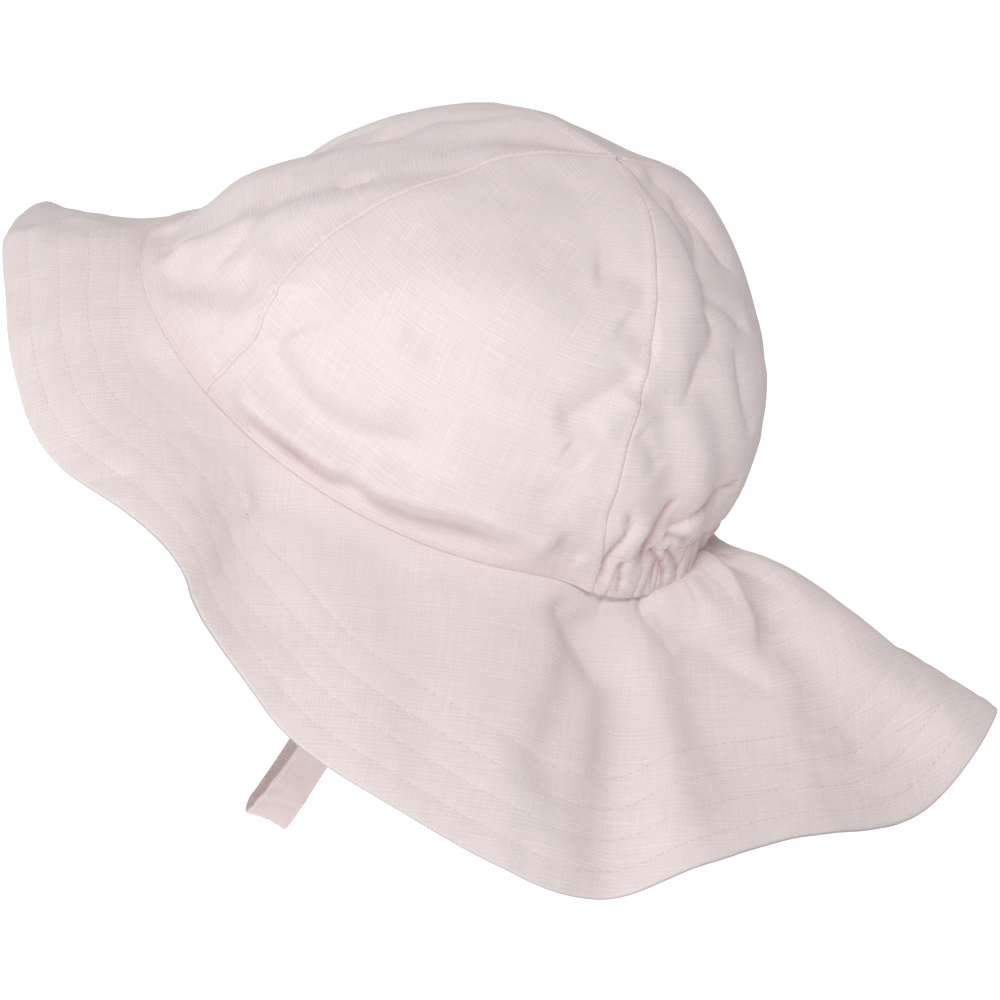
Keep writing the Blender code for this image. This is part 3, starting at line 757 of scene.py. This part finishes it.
def shell(name, outer, inner, grain, material, closed=False, flip=False, **marks):
    """A piece of cloth between two grids of points. grain holds the outer grid's places in the flat
    cloth, with one more column where the piece is closed, and marks its values for the material."""
    rows, columns = outer.shape[:2]
    inner_rows = inner.shape[0]
    wide = columns + 1 if closed else columns
    faces, places = [], []

    def add(*corners):
        """Faces between corners, each given as its layer (0 outer, 1 inner), row and column."""
        corners = [np.broadcast_arrays(*corner) for corner in corners]
        faces.append(np.stack([(layer * rows + r) * columns + c % columns for layer, r, c in corners], -1))
        places.append(np.stack([r * wide + c for _, r, c in corners], -1))

    for layer, height in ((0, rows), (1, inner_rows)):
        r, c = (a.ravel() for a in np.meshgrid(np.arange(height - 1), np.arange(wide - 1), indexing="ij"))
        quad = [(layer, r, c), (layer, r, c + 1), (layer, r + 1, c + 1), (layer, r + 1, c)]
        add(*(quad if layer == 0 else quad[::-1]))
    c = np.arange(wide - 1)
    add((0, 0, c + 1), (0, 0, c), (1, 0, c), (1, 0, c + 1))
    add((0, rows - 1, c), (0, rows - 1, c + 1), (1, inner_rows - 1, c + 1), (1, inner_rows - 1, c))
    if not closed:
        r = np.arange(rows - 1)
        last = columns - 1
        add((0, r, 0), (0, r + 1, 0), (1, r + 1, 0), (1, r, 0))
        add((0, r + 1, last), (0, r, last), (1, r, last), (1, r + 1, last))
    faces, places = np.concatenate(faces), np.concatenate(places)
    if flip:
        faces, places = faces[:, ::-1], places[:, ::-1]

    mesh = bpy.data.meshes.new(name)
    points = np.concatenate([outer.reshape(-1, 3), inner.reshape(-1, 3)]) * MM
    mesh.from_pydata(points.tolist(), [], faces.tolist())
    uv = mesh.uv_layers.new(name="Grain")
    grain = (grain * MM).reshape(-1, 2)
    uv.data.foreach_set("uv", grain[places.ravel()].astype(np.float32).ravel())
    for mark in ("layers", "pit", "rim_shade", "ridge"):
        values = np.broadcast_to(marks.get(mark, 0.0), outer.shape[:2])
        both = np.concatenate([values.ravel(), values[:inner_rows].ravel()])
        attribute = mesh.attributes.new(mark, "FLOAT", "POINT")
        attribute.data.foreach_set("value", both.astype(np.float32))
    mesh.materials.append(material)
    mesh.shade_smooth()
    mesh.validate()
    piece = bpy.data.objects.new(name, mesh)
    bpy.context.scene.collection.objects.link(piece)
    return piece


def near_edges(width, step):
    """Places across a piece, closer together beside its two edges."""
    beside = np.array(PANEL_COLUMNS)
    start = EVEN_COLUMNS_START
    middle = np.linspace(start, width - start, max(int((width - 2.0 * start) / step), 4))
    return np.concatenate([beside, middle, (width - beside)[::-1]]) / width


def line_at(points, distance, from_last=False, axis=1):
    """The line at a distance in from a grid's edge, as points."""
    grid = points if axis == 1 else points.swapaxes(0, 1)
    if from_last:
        grid = grid[:, ::-1]
    along = running_length(grid, axis=1)
    found = []
    for row, lengths in zip(grid, along):
        if lengths[-1] > 2.0 * distance:
            found.append(point_along(row, lengths, distance))
    return np.array(found)


def with_normals(line, points, normals):
    """A line, and the normals of the grid points nearest to it."""
    flat, flat_normals = points.reshape(-1, 3), normals.reshape(-1, 3)
    nearest = [int(np.argmin(((flat - p) ** 2).sum(-1))) for p in line]
    return line, flat_normals[nearest]


def stitched(name, lines, pitch, materials, seed, holes=True):
    """Lines of stitches as one mesh, with a needle hole beside each stitch where holes is set: a small dome
    whose darker colour is painted shade. Each line is its points and the cloth's normals there."""
    sides = STITCH_SIDES
    walls = sides * (len(STITCH_RINGS) - 2)
    turns = np.arange(sides) * 2.0 * math.pi / sides
    hole_turns = np.arange(HOLE_SIDES) * 2.0 * math.pi / HOLE_SIDES
    points, faces, kinds = [], [], []
    random = np.random.default_rng(seed)
    for line, normals in lines:
        lengths = running_length(line)
        number = max(int(round(lengths[-1] / pitch)), 1)
        step = lengths[-1] / number
        for centre in (np.arange(number) + 0.5) * step:
            length = step * STITCH_LENGTH_SHARE * random.uniform(*STITCH_LENGTHS)
            ends = np.clip((centre - length / 2, centre + length / 2, centre + step / 2), 0.0, lengths[-1])
            a, b, spot = (point_along(line, lengths, end) for end in ends)
            normal = unit(point_along(normals, lengths, centre))
            along = unit(b - a)
            across = unit(np.cross(normal, along)) + along * random.uniform(-STITCH_SKEW, STITCH_SKEW)
            middle = (a + b) / 2.0 + across * random.uniform(-STITCH_STRAY, STITCH_STRAY)
            count = len(points)
            for place, fullness, lift in STITCH_RINGS[1:]:
                ring_centre = middle + along * place * length + normal * (lift + STITCH_LIFT)
                for turn in turns:
                    spoke = across * math.cos(turn) * STITCH_BREADTH + normal * math.sin(turn)
                    points.append(ring_centre + spoke * STITCH_RADIUS * fullness)
            top = count + walls
            for low in range(count, top, sides):
                for s in range(sides):
                    t = (s + 1) % sides
                    faces.append((low + s, low + t, low + sides + t, low + sides + s))
            faces.append(tuple(range(count, count + sides))[::-1])
            faces.append(tuple(range(top, top + sides)))
            kinds += [0] * (walls + 2)
            if not holes:
                continue
            # The needle hole between this stitch and the next, a small flattened dome whose darker colour is
            # painted shade.
            count = len(points)
            top = count + HOLE_SIDES
            for turn in hole_turns:
                spoke = along * math.cos(turn) + across * math.sin(turn)
                points.append(spot + spoke * HOLE_RADIUS - normal * HOLE_SINK)
            points.append(spot + normal * HOLE_RISE)
            faces.append(tuple(range(count, top))[::-1])
            for s in range(HOLE_SIDES):
                faces.append((count + s, count + (s + 1) % HOLE_SIDES, top))
            kinds += [1] * (HOLE_SIDES + 1)
    mesh = bpy.data.meshes.new(name)
    mesh.from_pydata([tuple(p * MM) for p in points], [], faces)
    for material in materials:
        mesh.materials.append(material)
    mesh.polygons.foreach_set("material_index", kinds)
    mesh.shade_smooth()
    piece = bpy.data.objects.new(name, mesh)
    bpy.context.scene.collection.objects.link(piece)
    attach(piece, "root")
    return piece


def seams_of(name, climb):
    """The directions of a panel's two seams at a climb."""
    front, back = (eased(PANEL_SEAMS, seam, climb) for seam in PANEL_SEAMS[0][1:])
    return {
        "crown_front": (-front, front),
        "crown_left": (front, back),
        "crown_right": (-back, -front),
        "crown_back": (back, 360.0 - back),
    }[name]


def panel(name, bottom, allowance, step, material, sewing):
    """A panel of the crown. bottom is its lower edge's height over the opening, and allowance says which
    of its sides (first, last) hold the turned-in cloth of the seam."""
    on_brim = bottom == 0.0
    first, last = seams_of(name, np.zeros(1))
    width = running_length(opening_point(np.linspace(first[0], last[0], 200)))[-1]
    shares = near_edges(width, step)
    begin = climb_at(first[0] + (last[0] - first[0]) * shares, bottom)
    fine = np.linspace(0.0, 1.0, FINE_STEPS)[:, None] ** CROWN_CROWDING
    climbs = begin + (PANEL_TIP - begin) * fine
    first, last = seams_of(name, climbs)
    lengths = running_length(bare_crown(first + (last - first) * shares, climbs))
    low = np.array(PANEL_ROWS)
    rise = np.linspace(0.0, 1.0, int((lengths[-1].mean() - low[-1]) / CROWN_STEP))[1:]
    climb = np.empty((len(low) + len(rise), len(shares)))
    for j in range(len(shares)):
        wanted = np.concatenate([low, low[-1] + (lengths[-1, j] - low[-1]) * rise])
        climb[:, j] = np.interp(wanted, lengths[:, j], climbs[:, j])
    first, last = seams_of(name, climb)
    direction = first + (last - first) * shares
    bare, normals, height, pit = crown_cloth(direction, climb)

    across = running_length(bare, axis=1)
    up = running_length(bare)
    layers = np.zeros(bare.shape[:2])
    # The fine ridges along the crown's lower edge and beside the turned-in cloth; the same mask paints their
    # highlight.
    ridge = hill(up - GROOVE_WIDTH, RIDGE_WIDTH) * on_brim
    relief = RIDGE_HEIGHT * ridge
    for distance, holds in zip((across, across[:, -1:] - across), allowance):
        relief -= GROOVE_DEPTH * hill(distance, GROOVE_WIDTH)
        if holds:
            band = smooth((ALLOWANCE_WIDTH - distance) / ALLOWANCE_SOFTNESS + 0.5)
            edge = hill(distance - RIDGE_PLACE, RIDGE_WIDTH)
            relief += ALLOWANCE_HEIGHT * band * smooth(distance / GROOVE_WIDTH) + RIDGE_HEIGHT * edge
            layers = np.maximum(layers, band * ALLOWANCE_TINT)
            ridge = np.maximum(ridge, edge)
    if on_brim:
        strip = smooth((STRIP_HEIGHT - up) / STRIP_SOFTNESS + 0.5)
        relief += STRIP_RISE * strip
        layers = np.maximum(layers, strip)
    outer = bulged(bare + normals * (height + relief)[..., None], direction, over_opening(bare, direction))
    wall = CROWN_WALL * (EDGE_WALL_SHARE + (1.0 - EDGE_WALL_SHARE) * smooth(up / EDGE_WALL_WIDTH))
    inner = outer - normals * wall[..., None]

    middle = len(shares) // 2
    grain_up = np.broadcast_to(up[:, middle : middle + 1], across.shape)
    grain = np.stack([across - across[:, middle : middle + 1], grain_up], -1)
    piece = shell(name + "_cloth", outer, inner, grain, material, layers=layers, pit=pit, ridge=ridge)

    normals = grid_normals(outer, False)
    lines = [with_normals(line_at(outer, STITCH_LINE, axis=0), outer, normals)]
    for holds, from_last in zip(allowance, (False, True)):
        if holds:
            lines.append(with_normals(line_at(outer[2:-6], STITCH_LINE, from_last), outer, normals))
    return piece, stitched(name + "_stitches", lines, SEAM_STITCH_PITCH, sewing, len(name), on_brim)


def crown(cloth, sewing):
    """The four panels, each with its stitches."""
    made = {}
    for name, bottom, allowance, step in (
        ("crown_front", 0.0, (True, True), CROWN_STEP),
        ("crown_left", 0.0, (False, True), CROWN_STEP),
        ("crown_right", 0.0, (True, False), CROWN_STEP),
        ("crown_back", CASING_HEIGHT, (False, False), NAPE_STEP),
    ):
        made[name] = panel(name, bottom, allowance, step, cloth, sewing)
    return made


def nape_casing(cloth, sewing):
    """The gathered channel between the opening and the back panel, with its top under that panel."""
    shares = np.linspace(0.0, 1.0, NAPE_COLUMNS * 2 + 1)[None, :]
    up = np.concatenate([CASING_ROWS, CASING_HEIGHT + np.array(CASING_ROWS_ABOVE)])[:, None]
    climb = climb_at(np.full((len(up), 1), NAPE_EDGE), up)
    side, opposite = seams_of("crown_back", climb)
    direction = side + (opposite - side) * shares
    climb = climb_at(direction, up)
    bare, normals, height, pit = crown_cloth(direction, climb)
    beyond = up - CASING_HEIGHT
    sunk = CASING_LIP * smooth((beyond + 0.5) / 0.5) + (CROWN_WALL - CASING_LIP + 0.2) * smooth(beyond / 1.5)
    height = height + casing_puff(direction, up) - sunk
    outer = bulged(bare + normals * height[..., None], direction, up)
    inner = outer - normals * CASING_WALL
    across = running_length(bare, axis=1)
    grain = np.stack([across * CASING_FULLNESS, np.broadcast_to(up, across.shape)], -1)
    piece = shell("nape_casing_cloth", outer, inner, grain, cloth, layers=CASING_TINT, pit=pit)
    normals = grid_normals(outer, False)
    return piece, stitched("nape_casing_stitches", [(outer[3], normals[3])], SEAM_STITCH_PITCH, sewing, 3)


def brim(cloth, sewing):
    """The brim, from a margin inside the crown's edge out to its rounded edge, with its rows of stitches."""
    front = np.linspace(-NAPE_EDGE, NAPE_EDGE, BRIM_COLUMNS, endpoint=False)
    nape = np.linspace(NAPE_EDGE, 360.0 - NAPE_EDGE, NAPE_COLUMNS, endpoint=False)
    directions = np.concatenate([front, nape])
    half_wall = BRIM_WALL / 2.0
    # Distances in from the edge, closer together beside each row of stitches.
    inward = [*EDGE_ROWS]
    inward += [row + step for row in STITCH_ROWS for step in ROWS_BESIDE_STITCHES]
    inward += [row + step for row in STITCH_ROWS[:-1] for step in ROWS_BETWEEN_STITCHES]
    inward = np.unique(np.round(inward, 3))
    fine = np.linspace(0.0, 1.0, FINE_STEPS)
    lengths = running_length(bare_brim(directions[None, :], fine[:, None]))
    share = np.empty((BRIM_INNER_ROWS + len(inward), len(directions)))
    distance = np.empty_like(share)
    crowded = np.linspace(0.0, 1.0, BRIM_INNER_ROWS, endpoint=False) ** BRIM_CROWDING
    for j in range(len(directions)):
        length = lengths[-1, j]
        inside = (length - inward[-1]) * crowded
        wanted = np.concatenate([inside, length - inward[::-1]])
        share[:, j] = np.interp(wanted, lengths[:, j], fine)
        distance[:, j] = length - wanted
    direction = np.broadcast_to(directions, share.shape)
    from_seam = running_length(bare_brim(direction, share))
    moved = bulge(direction) * np.clip(1.0 - from_seam / BULGE_FLAP, 0.0, 1.0)
    share = share + share_at(direction, moved)
    bare = bare_brim(direction, share)
    normals = brim_normal(direction, share)

    height = fold_heights(bare, normals, bare_brim, BRIM_FOLDS) * np.clip(share / BRIM_FOLD_START, 0.0, 1.0)
    height += fold_heights(bare, normals, bare_brim, BRIM_CREASES) * np.clip(share / CREASE_START, 0.0, 1.0)
    height += crumple(bare) * BRIM_CRUMPLE * smooth(from_seam / BRIM_CRUMPLE_START)
    gathers = fold_heights(bare, normals, near_seam, NAPE_FOLDS) * smooth(from_seam / NAPE_FOLD_TURN)
    fade = np.exp(-share / TUCK_FADE_OUT) * np.clip(share / BRIM_TUCK_START, 0.0, 1.0)
    gathers -= TUCK_DEPTH * tuck(direction) * fade
    height += gathers
    thin = QUILT_DEPTH * sum(hill(distance - row, QUILT_WIDTH) for row in STITCH_ROWS)
    # Puckers across the rows of stitches.
    turn = np.radians(direction)
    ring_x, ring_y = PUCKER_RING
    ring = points_of(np.sin(turn) * ring_x, -np.cos(turn) * ring_y, distance * PUCKER_STRETCH)
    within = smooth((PUCKER_END - distance) / PUCKER_FADE)
    height += dents(ring, PUCKER_SIZE, 9) * PUCKER_HEIGHT * within

    # The margin inside the crown's edge, and the seam, which follows the crown's folds.
    up = np.array(MARGIN_ROWS)[:, None]
    around = np.broadcast_to(directions, (len(up), len(directions)))
    climb = climb_at(around, up)
    crown_bare, crown_side, crown_height, crown_pit = crown_cloth(around, climb)
    inside = crown_height + casing_puff(around, up) - CROWN_WALL - SEAM_GAP
    margin = bulged(crown_bare + crown_side * inside[..., None], around, up)[:-1]
    shift = crown_side[-1] * crown_height[-1][:, None] - (0.0, 0.0, SEAM_GAP)
    shift = shift * hill(from_seam, NAPE_FOLD_TURN)[..., None]

    outer = bare + shift + normals * (height - thin)[..., None]
    inner = bare + shift + normals * (height - BRIM_WALL + thin)[..., None]
    # The rounded edge.
    last, last_normal = bare[-1] + normals[-1] * height[-1][:, None], normals[-1]
    outward = unit(bare[-1] - bare[-2])
    arcs = []
    angles = np.radians(EDGE_ANGLES)
    for angle in angles:
        middle = last - last_normal * half_wall
        arcs.append(middle + (last_normal * math.cos(angle) + outward * math.sin(angle)) * half_wall)
    outer = np.concatenate([margin, outer, np.array(arcs)])
    inner = np.concatenate([margin - crown_side[:-1] * MARGIN_WALL, inner])

    first, count = len(margin), len(share)
    wide = np.concatenate([directions, directions[:1] + 360.0])
    pattern_turn = np.radians(wide * PATTERN_TURN)
    out_length = np.concatenate([-up[:-1] + 0.0 * directions, from_seam])
    round_length = half_wall * angles[:, None]
    out_length = np.concatenate([out_length, out_length[-1:] + round_length])
    out_length = np.concatenate([out_length, out_length[:, :1]], axis=1)
    radius = PATTERN_INNER_RADIUS + out_length
    grain = np.stack([radius * np.cos(pattern_turn), radius * np.sin(pattern_turn)], -1)

    # Painted shade in the gathers, and along the seam where the crown's gathers meet it.
    pit = np.zeros(outer.shape[:2])
    pit[first : first + count] = pit_mark(gathers)
    pit[first : first + 2] = np.maximum(pit[first : first + 2], crown_pit[-1])
    # Painted shade: grey round the brim's rounded edge, strongest a little below its side.
    rim_shade = np.zeros(outer.shape[:2])
    rim_shade[first + count :] = hill(angles - math.radians(RIM_ANGLE), math.radians(RIM_SPREAD))[:, None]
    layers = np.zeros(outer.shape[:2])
    layers[first : first + count] = BRIM_SEAM_TINT * hill(from_seam, BRIM_SEAM_WIDTH)
    marks = {"layers": layers, "pit": pit, "rim_shade": rim_shade}
    piece = shell("brim_cloth", outer, inner, grain, cloth, closed=True, flip=True, **marks)

    lines = []
    for surface, side in ((outer, -1.0), (inner, 1.0)):
        found = grid_normals(surface, True) * side
        for row in STITCH_ROWS:
            index = first + int(np.argmin(np.abs(distance[:, 0] - row)))
            loop = np.concatenate([surface[index], surface[index, :1]])
            loop_normals = np.concatenate([found[index], found[index, :1]])
            lines.append((loop, loop_normals))
    return piece, stitched("brim_stitches", lines, STITCH_PITCH, sewing, 4)


def strap_path():
    """The strap's middle line from the right side of the opening, under the hat, to the left side."""
    ends = STRAP_HALF_SPAN / STRAP_CATENARY
    i = np.arange(-STRAP_STEPS, STRAP_STEPS + 1)
    along = np.arcsinh(np.sinh(ends) * i / STRAP_STEPS)
    lift = (np.cosh(along) - 1.0) / (np.cosh(ends) - 1.0)
    back = np.abs(i) / STRAP_STEPS
    return points_of(
        STRAP_CATENARY * along,
        STRAP_FOOT_Y + (STRAP_SIDE_Y - STRAP_FOOT_Y) * back,
        -STRAP_DROP + (STRAP_DROP - OPENING_DIP) * lift,
    )


def chin_strap(cloth, sewing):
    """A flat band of doubled cloth with a line of stitches along each edge."""
    path = strap_path()
    tail = np.linspace(1.0, 0.0, 7)[:-1, None] * (0.0, 0.0, STRAP_TAIL)
    path = np.concatenate([path[0] + tail, path, path[-1] + tail[::-1]])
    last = len(path) - 1
    up = np.abs(2.0 * np.arange(len(path)) / last - 1.0)
    side = np.where(np.arange(len(path)) > last / 2, 1.0, -1.0)
    twist = np.radians(np.where(side > 0, STRAP_LEFT_TWIST, STRAP_RIGHT_TWIST))
    turning = np.sin(math.pi * np.minimum(1.0, up / STRAP_TWIST_END))
    end_slant = math.atan2(OPENING_HALF_WIDTH**2 * STRAP_SIDE_Y, OPENING_HALF_LENGTH**2 * STRAP_HALF_SPAN)
    slant = end_slant * up**3 + twist * turning
    along = unit(np.gradient(path, axis=0))
    across = points_of(-side * np.sin(slant), np.cos(slant), 0.0)
    across = unit(across - along * np.einsum("ij,ij->i", across, along)[:, None])
    normals = unit(np.cross(across, along))
    places = np.sin(np.linspace(-math.pi / 2, math.pi / 2, STRAP_COLUMNS)) * STRAP_WIDTH / 2.0
    flat = path[:, None] + across[:, None] * places[None, :, None]
    facing = np.broadcast_to(normals[:, None], flat.shape)
    half_width = STRAP_WIDTH / 2.0
    cup = STRAP_CUP * (places / half_width) ** 2
    wrinkle = sum(dents(flat, size, seed) * height for size, height, seed in STRAP_WRINKLES[1:])
    quilt = STRAP_QUILT_DEPTH * hill(np.abs(places) - (half_width - STRAP_STITCH_INSET), STRAP_QUILT_WIDTH)
    edge = np.sqrt(np.clip(1.0 - np.abs(places / (half_width + 0.06)) ** STRAP_SQUARENESS, 0.0, 1.0))
    settle = smooth((1.0 - up) / 0.06)[:, None]
    half = STRAP_WALL / 2.0 * edge - quilt
    middle = (cup + wrinkle) * settle - STRAP_WALL / 2.0
    outer = flat + facing * (middle + half)[..., None]
    inner = flat + facing * (middle - half)[..., None]
    length = running_length(path)[:, None]
    grain = np.stack(np.broadcast_arrays(places[None, :], length), -1)
    piece = shell("chin_strap_cloth", outer, inner, grain, cloth, layers=1.0)
    lines = []
    for surface, sign in ((outer, 1.0), (inner, -1.0)):
        for column_index in (3, STRAP_COLUMNS - 4):
            lines.append((surface[4:-4, column_index], normals[4:-4] * sign))
    return piece, stitched("chin_strap_stitches", lines, SEAM_STITCH_PITCH, sewing, 5)


class Nodes:
    """A short way to build the nodes of a material or world."""

    def __init__(self, owner):
        self.tree = owner.node_tree

    def add(self, kind, **settings):
        node = self.tree.nodes.new(kind)
        for key, value in settings.items():
            setattr(node, key, value)
        return node

    def give(self, socket, value):
        """Link a socket where the value is another socket, and set it otherwise."""
        if isinstance(value, bpy.types.NodeSocket):
            self.tree.links.new(value, socket)
        elif value is not None:
            socket.default_value = value

    def fill(self, node, **values):
        """Give values to a node's inputs by name. An underscore stands for a space."""
        for name, value in values.items():
            socket = next(s for s in node.inputs if s.enabled and s.name == name.replace("_", " "))
            self.give(socket, value)

    def math(self, operation, first, second=None, third=None):
        node = self.add("ShaderNodeMath", operation=operation)
        for socket, value in zip(node.inputs, (first, second, third)):
            self.give(socket, value)
        return node.outputs[0]

    def noise(self, vector, scale, detail=2.0, roughness=0.5):
        node = self.add("ShaderNodeTexNoise")
        self.fill(node, Vector=vector, Scale=scale, Detail=detail, Roughness=roughness)
        return node.outputs["Fac"]

    def stretched(self, vector, scale):
        node = self.add("ShaderNodeMapping")
        self.fill(node, Vector=vector, Scale=scale)
        return node.outputs["Vector"]

    def ramp(self, value, low, high):
        node = self.add("ShaderNodeMapRange", clamp=True)
        self.fill(node, Value=value, From_Min=low, From_Max=high)
        return node.outputs["Result"]

    def mix(self, factor, first, second, blend="MIX"):
        node = self.add("ShaderNodeMix", data_type="RGBA", blend_type=blend)
        self.fill(node, Factor=factor, A=first, B=second)
        return next(s for s in node.outputs if s.type == "RGBA" and s.enabled)

    def mark(self, name):
        return self.add("ShaderNodeAttribute", attribute_name=name).outputs["Fac"]


def linen(name, doubled_and_shaded_colour):
    """Linen in its flat-cloth coordinates: uneven threads, slubs and doubled cloth, with painted shade in
    deep gathers and along the brim's edge, and painted highlights on the seams' ridges. The strap's doubled
    colour is darker, which paints the shade it lies in.
    """
    material = bpy.data.materials.new(name)
    material.use_nodes = True
    nodes = Nodes(material)
    shader = material.node_tree.nodes["Principled BSDF"]
    grain = nodes.add("ShaderNodeUVMap", uv_map="Grain").outputs["UV"]
    grain_mm = nodes.stretched(grain, (1000.0, 1000.0, 1000.0))

    def drawn_out(u_scale, v_scale, detail=1.0, roughness=0.5):
        """Noise that is drawn out along the threads."""
        return nodes.noise(nodes.stretched(grain_mm, (u_scale, v_scale, 1.0)), 1.0, detail, roughness)

    # Threads run along U and along V. Each is a little thicker or thinner than the next, and slubs swell it.
    split = nodes.add("ShaderNodeSeparateXYZ")
    wander = nodes.noise(grain_mm, 0.35, 1.0)
    nodes.fill(split, Vector=grain_mm)
    shift = nodes.math("MULTIPLY", wander, 0.5)
    u = nodes.math("ADD", split.outputs["X"], shift)
    v = nodes.math("ADD", split.outputs["Y"], shift)
    turn_u = nodes.math("SINE", nodes.math("MULTIPLY", u, math.pi / THREAD))
    turn_v = nodes.math("SINE", nodes.math("MULTIPLY", v, math.pi / THREAD))
    ribs = nodes.math("SINE", nodes.math("MULTIPLY", v, 2.0 * math.pi / RIB))
    broken_ribs = nodes.math("MULTIPLY", ribs, nodes.ramp(drawn_out(0.45, 0.95), 0.36, 0.62))
    weave = nodes.math("MULTIPLY_ADD", nodes.math("MULTIPLY", turn_u, turn_v), 0.4, broken_ribs)
    streaks = nodes.math("ADD", drawn_out(0.05, 2.9, 1.0, 0.6), drawn_out(2.9, 0.05, 1.0, 0.6))
    slub_u = nodes.ramp(drawn_out(0.08, 2.2, 0.0), 0.66, 0.80)
    slub_v = nodes.ramp(drawn_out(2.2, 0.08, 0.0), 0.70, 0.82)
    slubs = nodes.math("ADD", slub_u, slub_v)
    mottle = nodes.noise(grain_mm, 0.05, 3.0)

    colour = nodes.mix(nodes.mark("layers"), LINEN, doubled_and_shaded_colour)
    for mark, strength, mark_colour in MARK_COLOURS[1:]:
        colour = nodes.mix(nodes.math("MULTIPLY", nodes.mark(mark), strength), colour, mark_colour)
    tone = nodes.math("MULTIPLY_ADD", nodes.math("SUBTRACT", streaks, 1.0), STREAK_TONE, 1.0)
    tone = nodes.math("MULTIPLY_ADD", weave, WEAVE_TONE, tone)
    tone = nodes.math("MULTIPLY_ADD", slubs, SLUB_TONE, tone)
    tone = nodes.math("MULTIPLY_ADD", nodes.math("SUBTRACT", mottle, 0.5), MOTTLE_TONE, tone)
    grey = nodes.add("ShaderNodeCombineColor")
    for channel in grey.inputs:
        nodes.give(channel, tone)
    colour = nodes.mix(1.0, colour, grey.outputs[0], "MULTIPLY")

    height = nodes.math("MULTIPLY_ADD", weave, 0.35, nodes.math("MULTIPLY", streaks, 0.9))
    height = nodes.math("MULTIPLY_ADD", slubs, 0.5, height)
    bump = nodes.add("ShaderNodeBump")
    nodes.fill(bump, Strength=0.5, Distance=0.00012, Height=height)
    nodes.fill(shader, Base_Color=colour, Normal=bump.outputs["Normal"], Roughness=0.9)
    nodes.fill(shader, Specular_IOR_Level=0.2, Sheen_Weight=0.05, Sheen_Roughness=0.6)
    return material


def plain(name, colour, roughness=0.85):
    """Thread, the painted shade of needle holes, or floor, with a faint unevenness."""
    material = bpy.data.materials.new(name)
    material.use_nodes = True
    nodes = Nodes(material)
    shader = material.node_tree.nodes["Principled BSDF"]
    coordinates = nodes.add("ShaderNodeTexCoord").outputs["Object"]
    tone = nodes.ramp(nodes.noise(coordinates, 900.0), -1.0, 1.2)
    darker = tuple(c * 0.9 for c in colour[:3]) + (1.0,)
    nodes.fill(shader, Base_Color=nodes.mix(tone, darker, colour))
    nodes.fill(shader, Roughness=roughness, Specular_IOR_Level=0.2)
    return material


def add_camera():
    """The camera. It returns the directions back towards it and up its picture."""
    elevation, azimuth, roll = map(math.radians, (CAMERA_ELEVATION, CAMERA_AZIMUTH, CAMERA_ROLL))
    level_part = math.cos(elevation)
    back = Vector((math.sin(azimuth) * level_part, -math.cos(azimuth) * level_part, math.sin(elevation)))
    right = Vector((0.0, 0.0, 1.0)).cross(back).normalized()
    up = back.cross(right)
    level = right * math.cos(roll) + up * math.sin(roll)
    top = up * math.cos(roll) - right * math.sin(roll)
    across, down = ((pixel - PICTURE_SIDE / 2.0) / PIXELS_PER_MM for pixel in ORIGIN_PIXEL)
    place = top * down - level * across + back * CAMERA_DISTANCE
    facing = Matrix((level, top, back)).transposed().to_4x4()
    data = bpy.data.cameras.new("Camera")
    data.sensor_width = SENSOR_WIDTH
    data.lens = SENSOR_WIDTH * CAMERA_DISTANCE * PIXELS_PER_MM / PICTURE_SIDE
    data.clip_end = 100.0
    camera = bpy.data.objects.new("Camera", data)
    camera.matrix_world = Matrix.Translation(place * MM) @ facing
    bpy.context.scene.collection.objects.link(camera)
    bpy.context.scene.camera = camera
    return back, top


def add_light(back, top):
    """A soft light above the camera, and an even world."""
    data = bpy.data.lights.new("Key", "AREA")
    data.shape = "DISK"
    data.size = KEY_SIZE
    data.energy = KEY_POWER
    key = bpy.data.objects.new("Key", data)
    towards = (back + top * KEY_LIFT).normalized()
    facing = towards.to_track_quat("Z", "Y").to_matrix().to_4x4()
    key.matrix_world = Matrix.Translation(towards * KEY_DISTANCE) @ facing
    bpy.context.scene.collection.objects.link(key)
    world = bpy.data.worlds.new("Studio")
    world.use_nodes = True
    background = world.node_tree.nodes["Background"]
    Nodes(world).fill(background, Color=WORLD_COLOUR, Strength=WORLD_LIGHT)
    bpy.context.scene.world = world


def add_floor():
    bpy.ops.mesh.primitive_plane_add(size=30.0, location=(0.0, 0.0, -FLOOR_DROP))
    floor = bpy.context.object
    floor.name = "floor"
    material = plain("Pale floor", FLOOR_COLOUR, 0.9)
    shader = material.node_tree.nodes["Principled BSDF"]
    Nodes(material).fill(shader, Emission_Color=FLOOR_COLOUR_GLOW, Emission_Strength=FLOOR_GLOW)
    floor.data.materials.append(material)


bpy.context.scene.view_settings.view_transform = "Standard"
back, top = add_camera()
add_light(back, top)
add_floor()

pale_linen = linen("Pale linen", LINEN_DOUBLE)
# Thread, and the needle holes' darker colour, which paints their shade.
sewing = (plain("Sewing thread", THREAD_COLOUR), plain("Needle hole shade", HOLE_SHADE_COLOUR))
made = crown(pale_linen, sewing)
made["nape_casing"] = nape_casing(pale_linen, sewing)
made["brim"] = brim(pale_linen, sewing)
# The strap's linen is darker than the hat's: painted shade under the brim.
made["chin_strap"] = chin_strap(linen("Strap linen in painted shade", LINEN_STRAP_PAINTED_SHADE), sewing)
names, *cuts = CUTS
for cut in (dict(zip(names, row)) for row in cuts):
    piece, stitches = made[cut["node"]]
    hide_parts(cut["node"])
    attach(piece, "root")
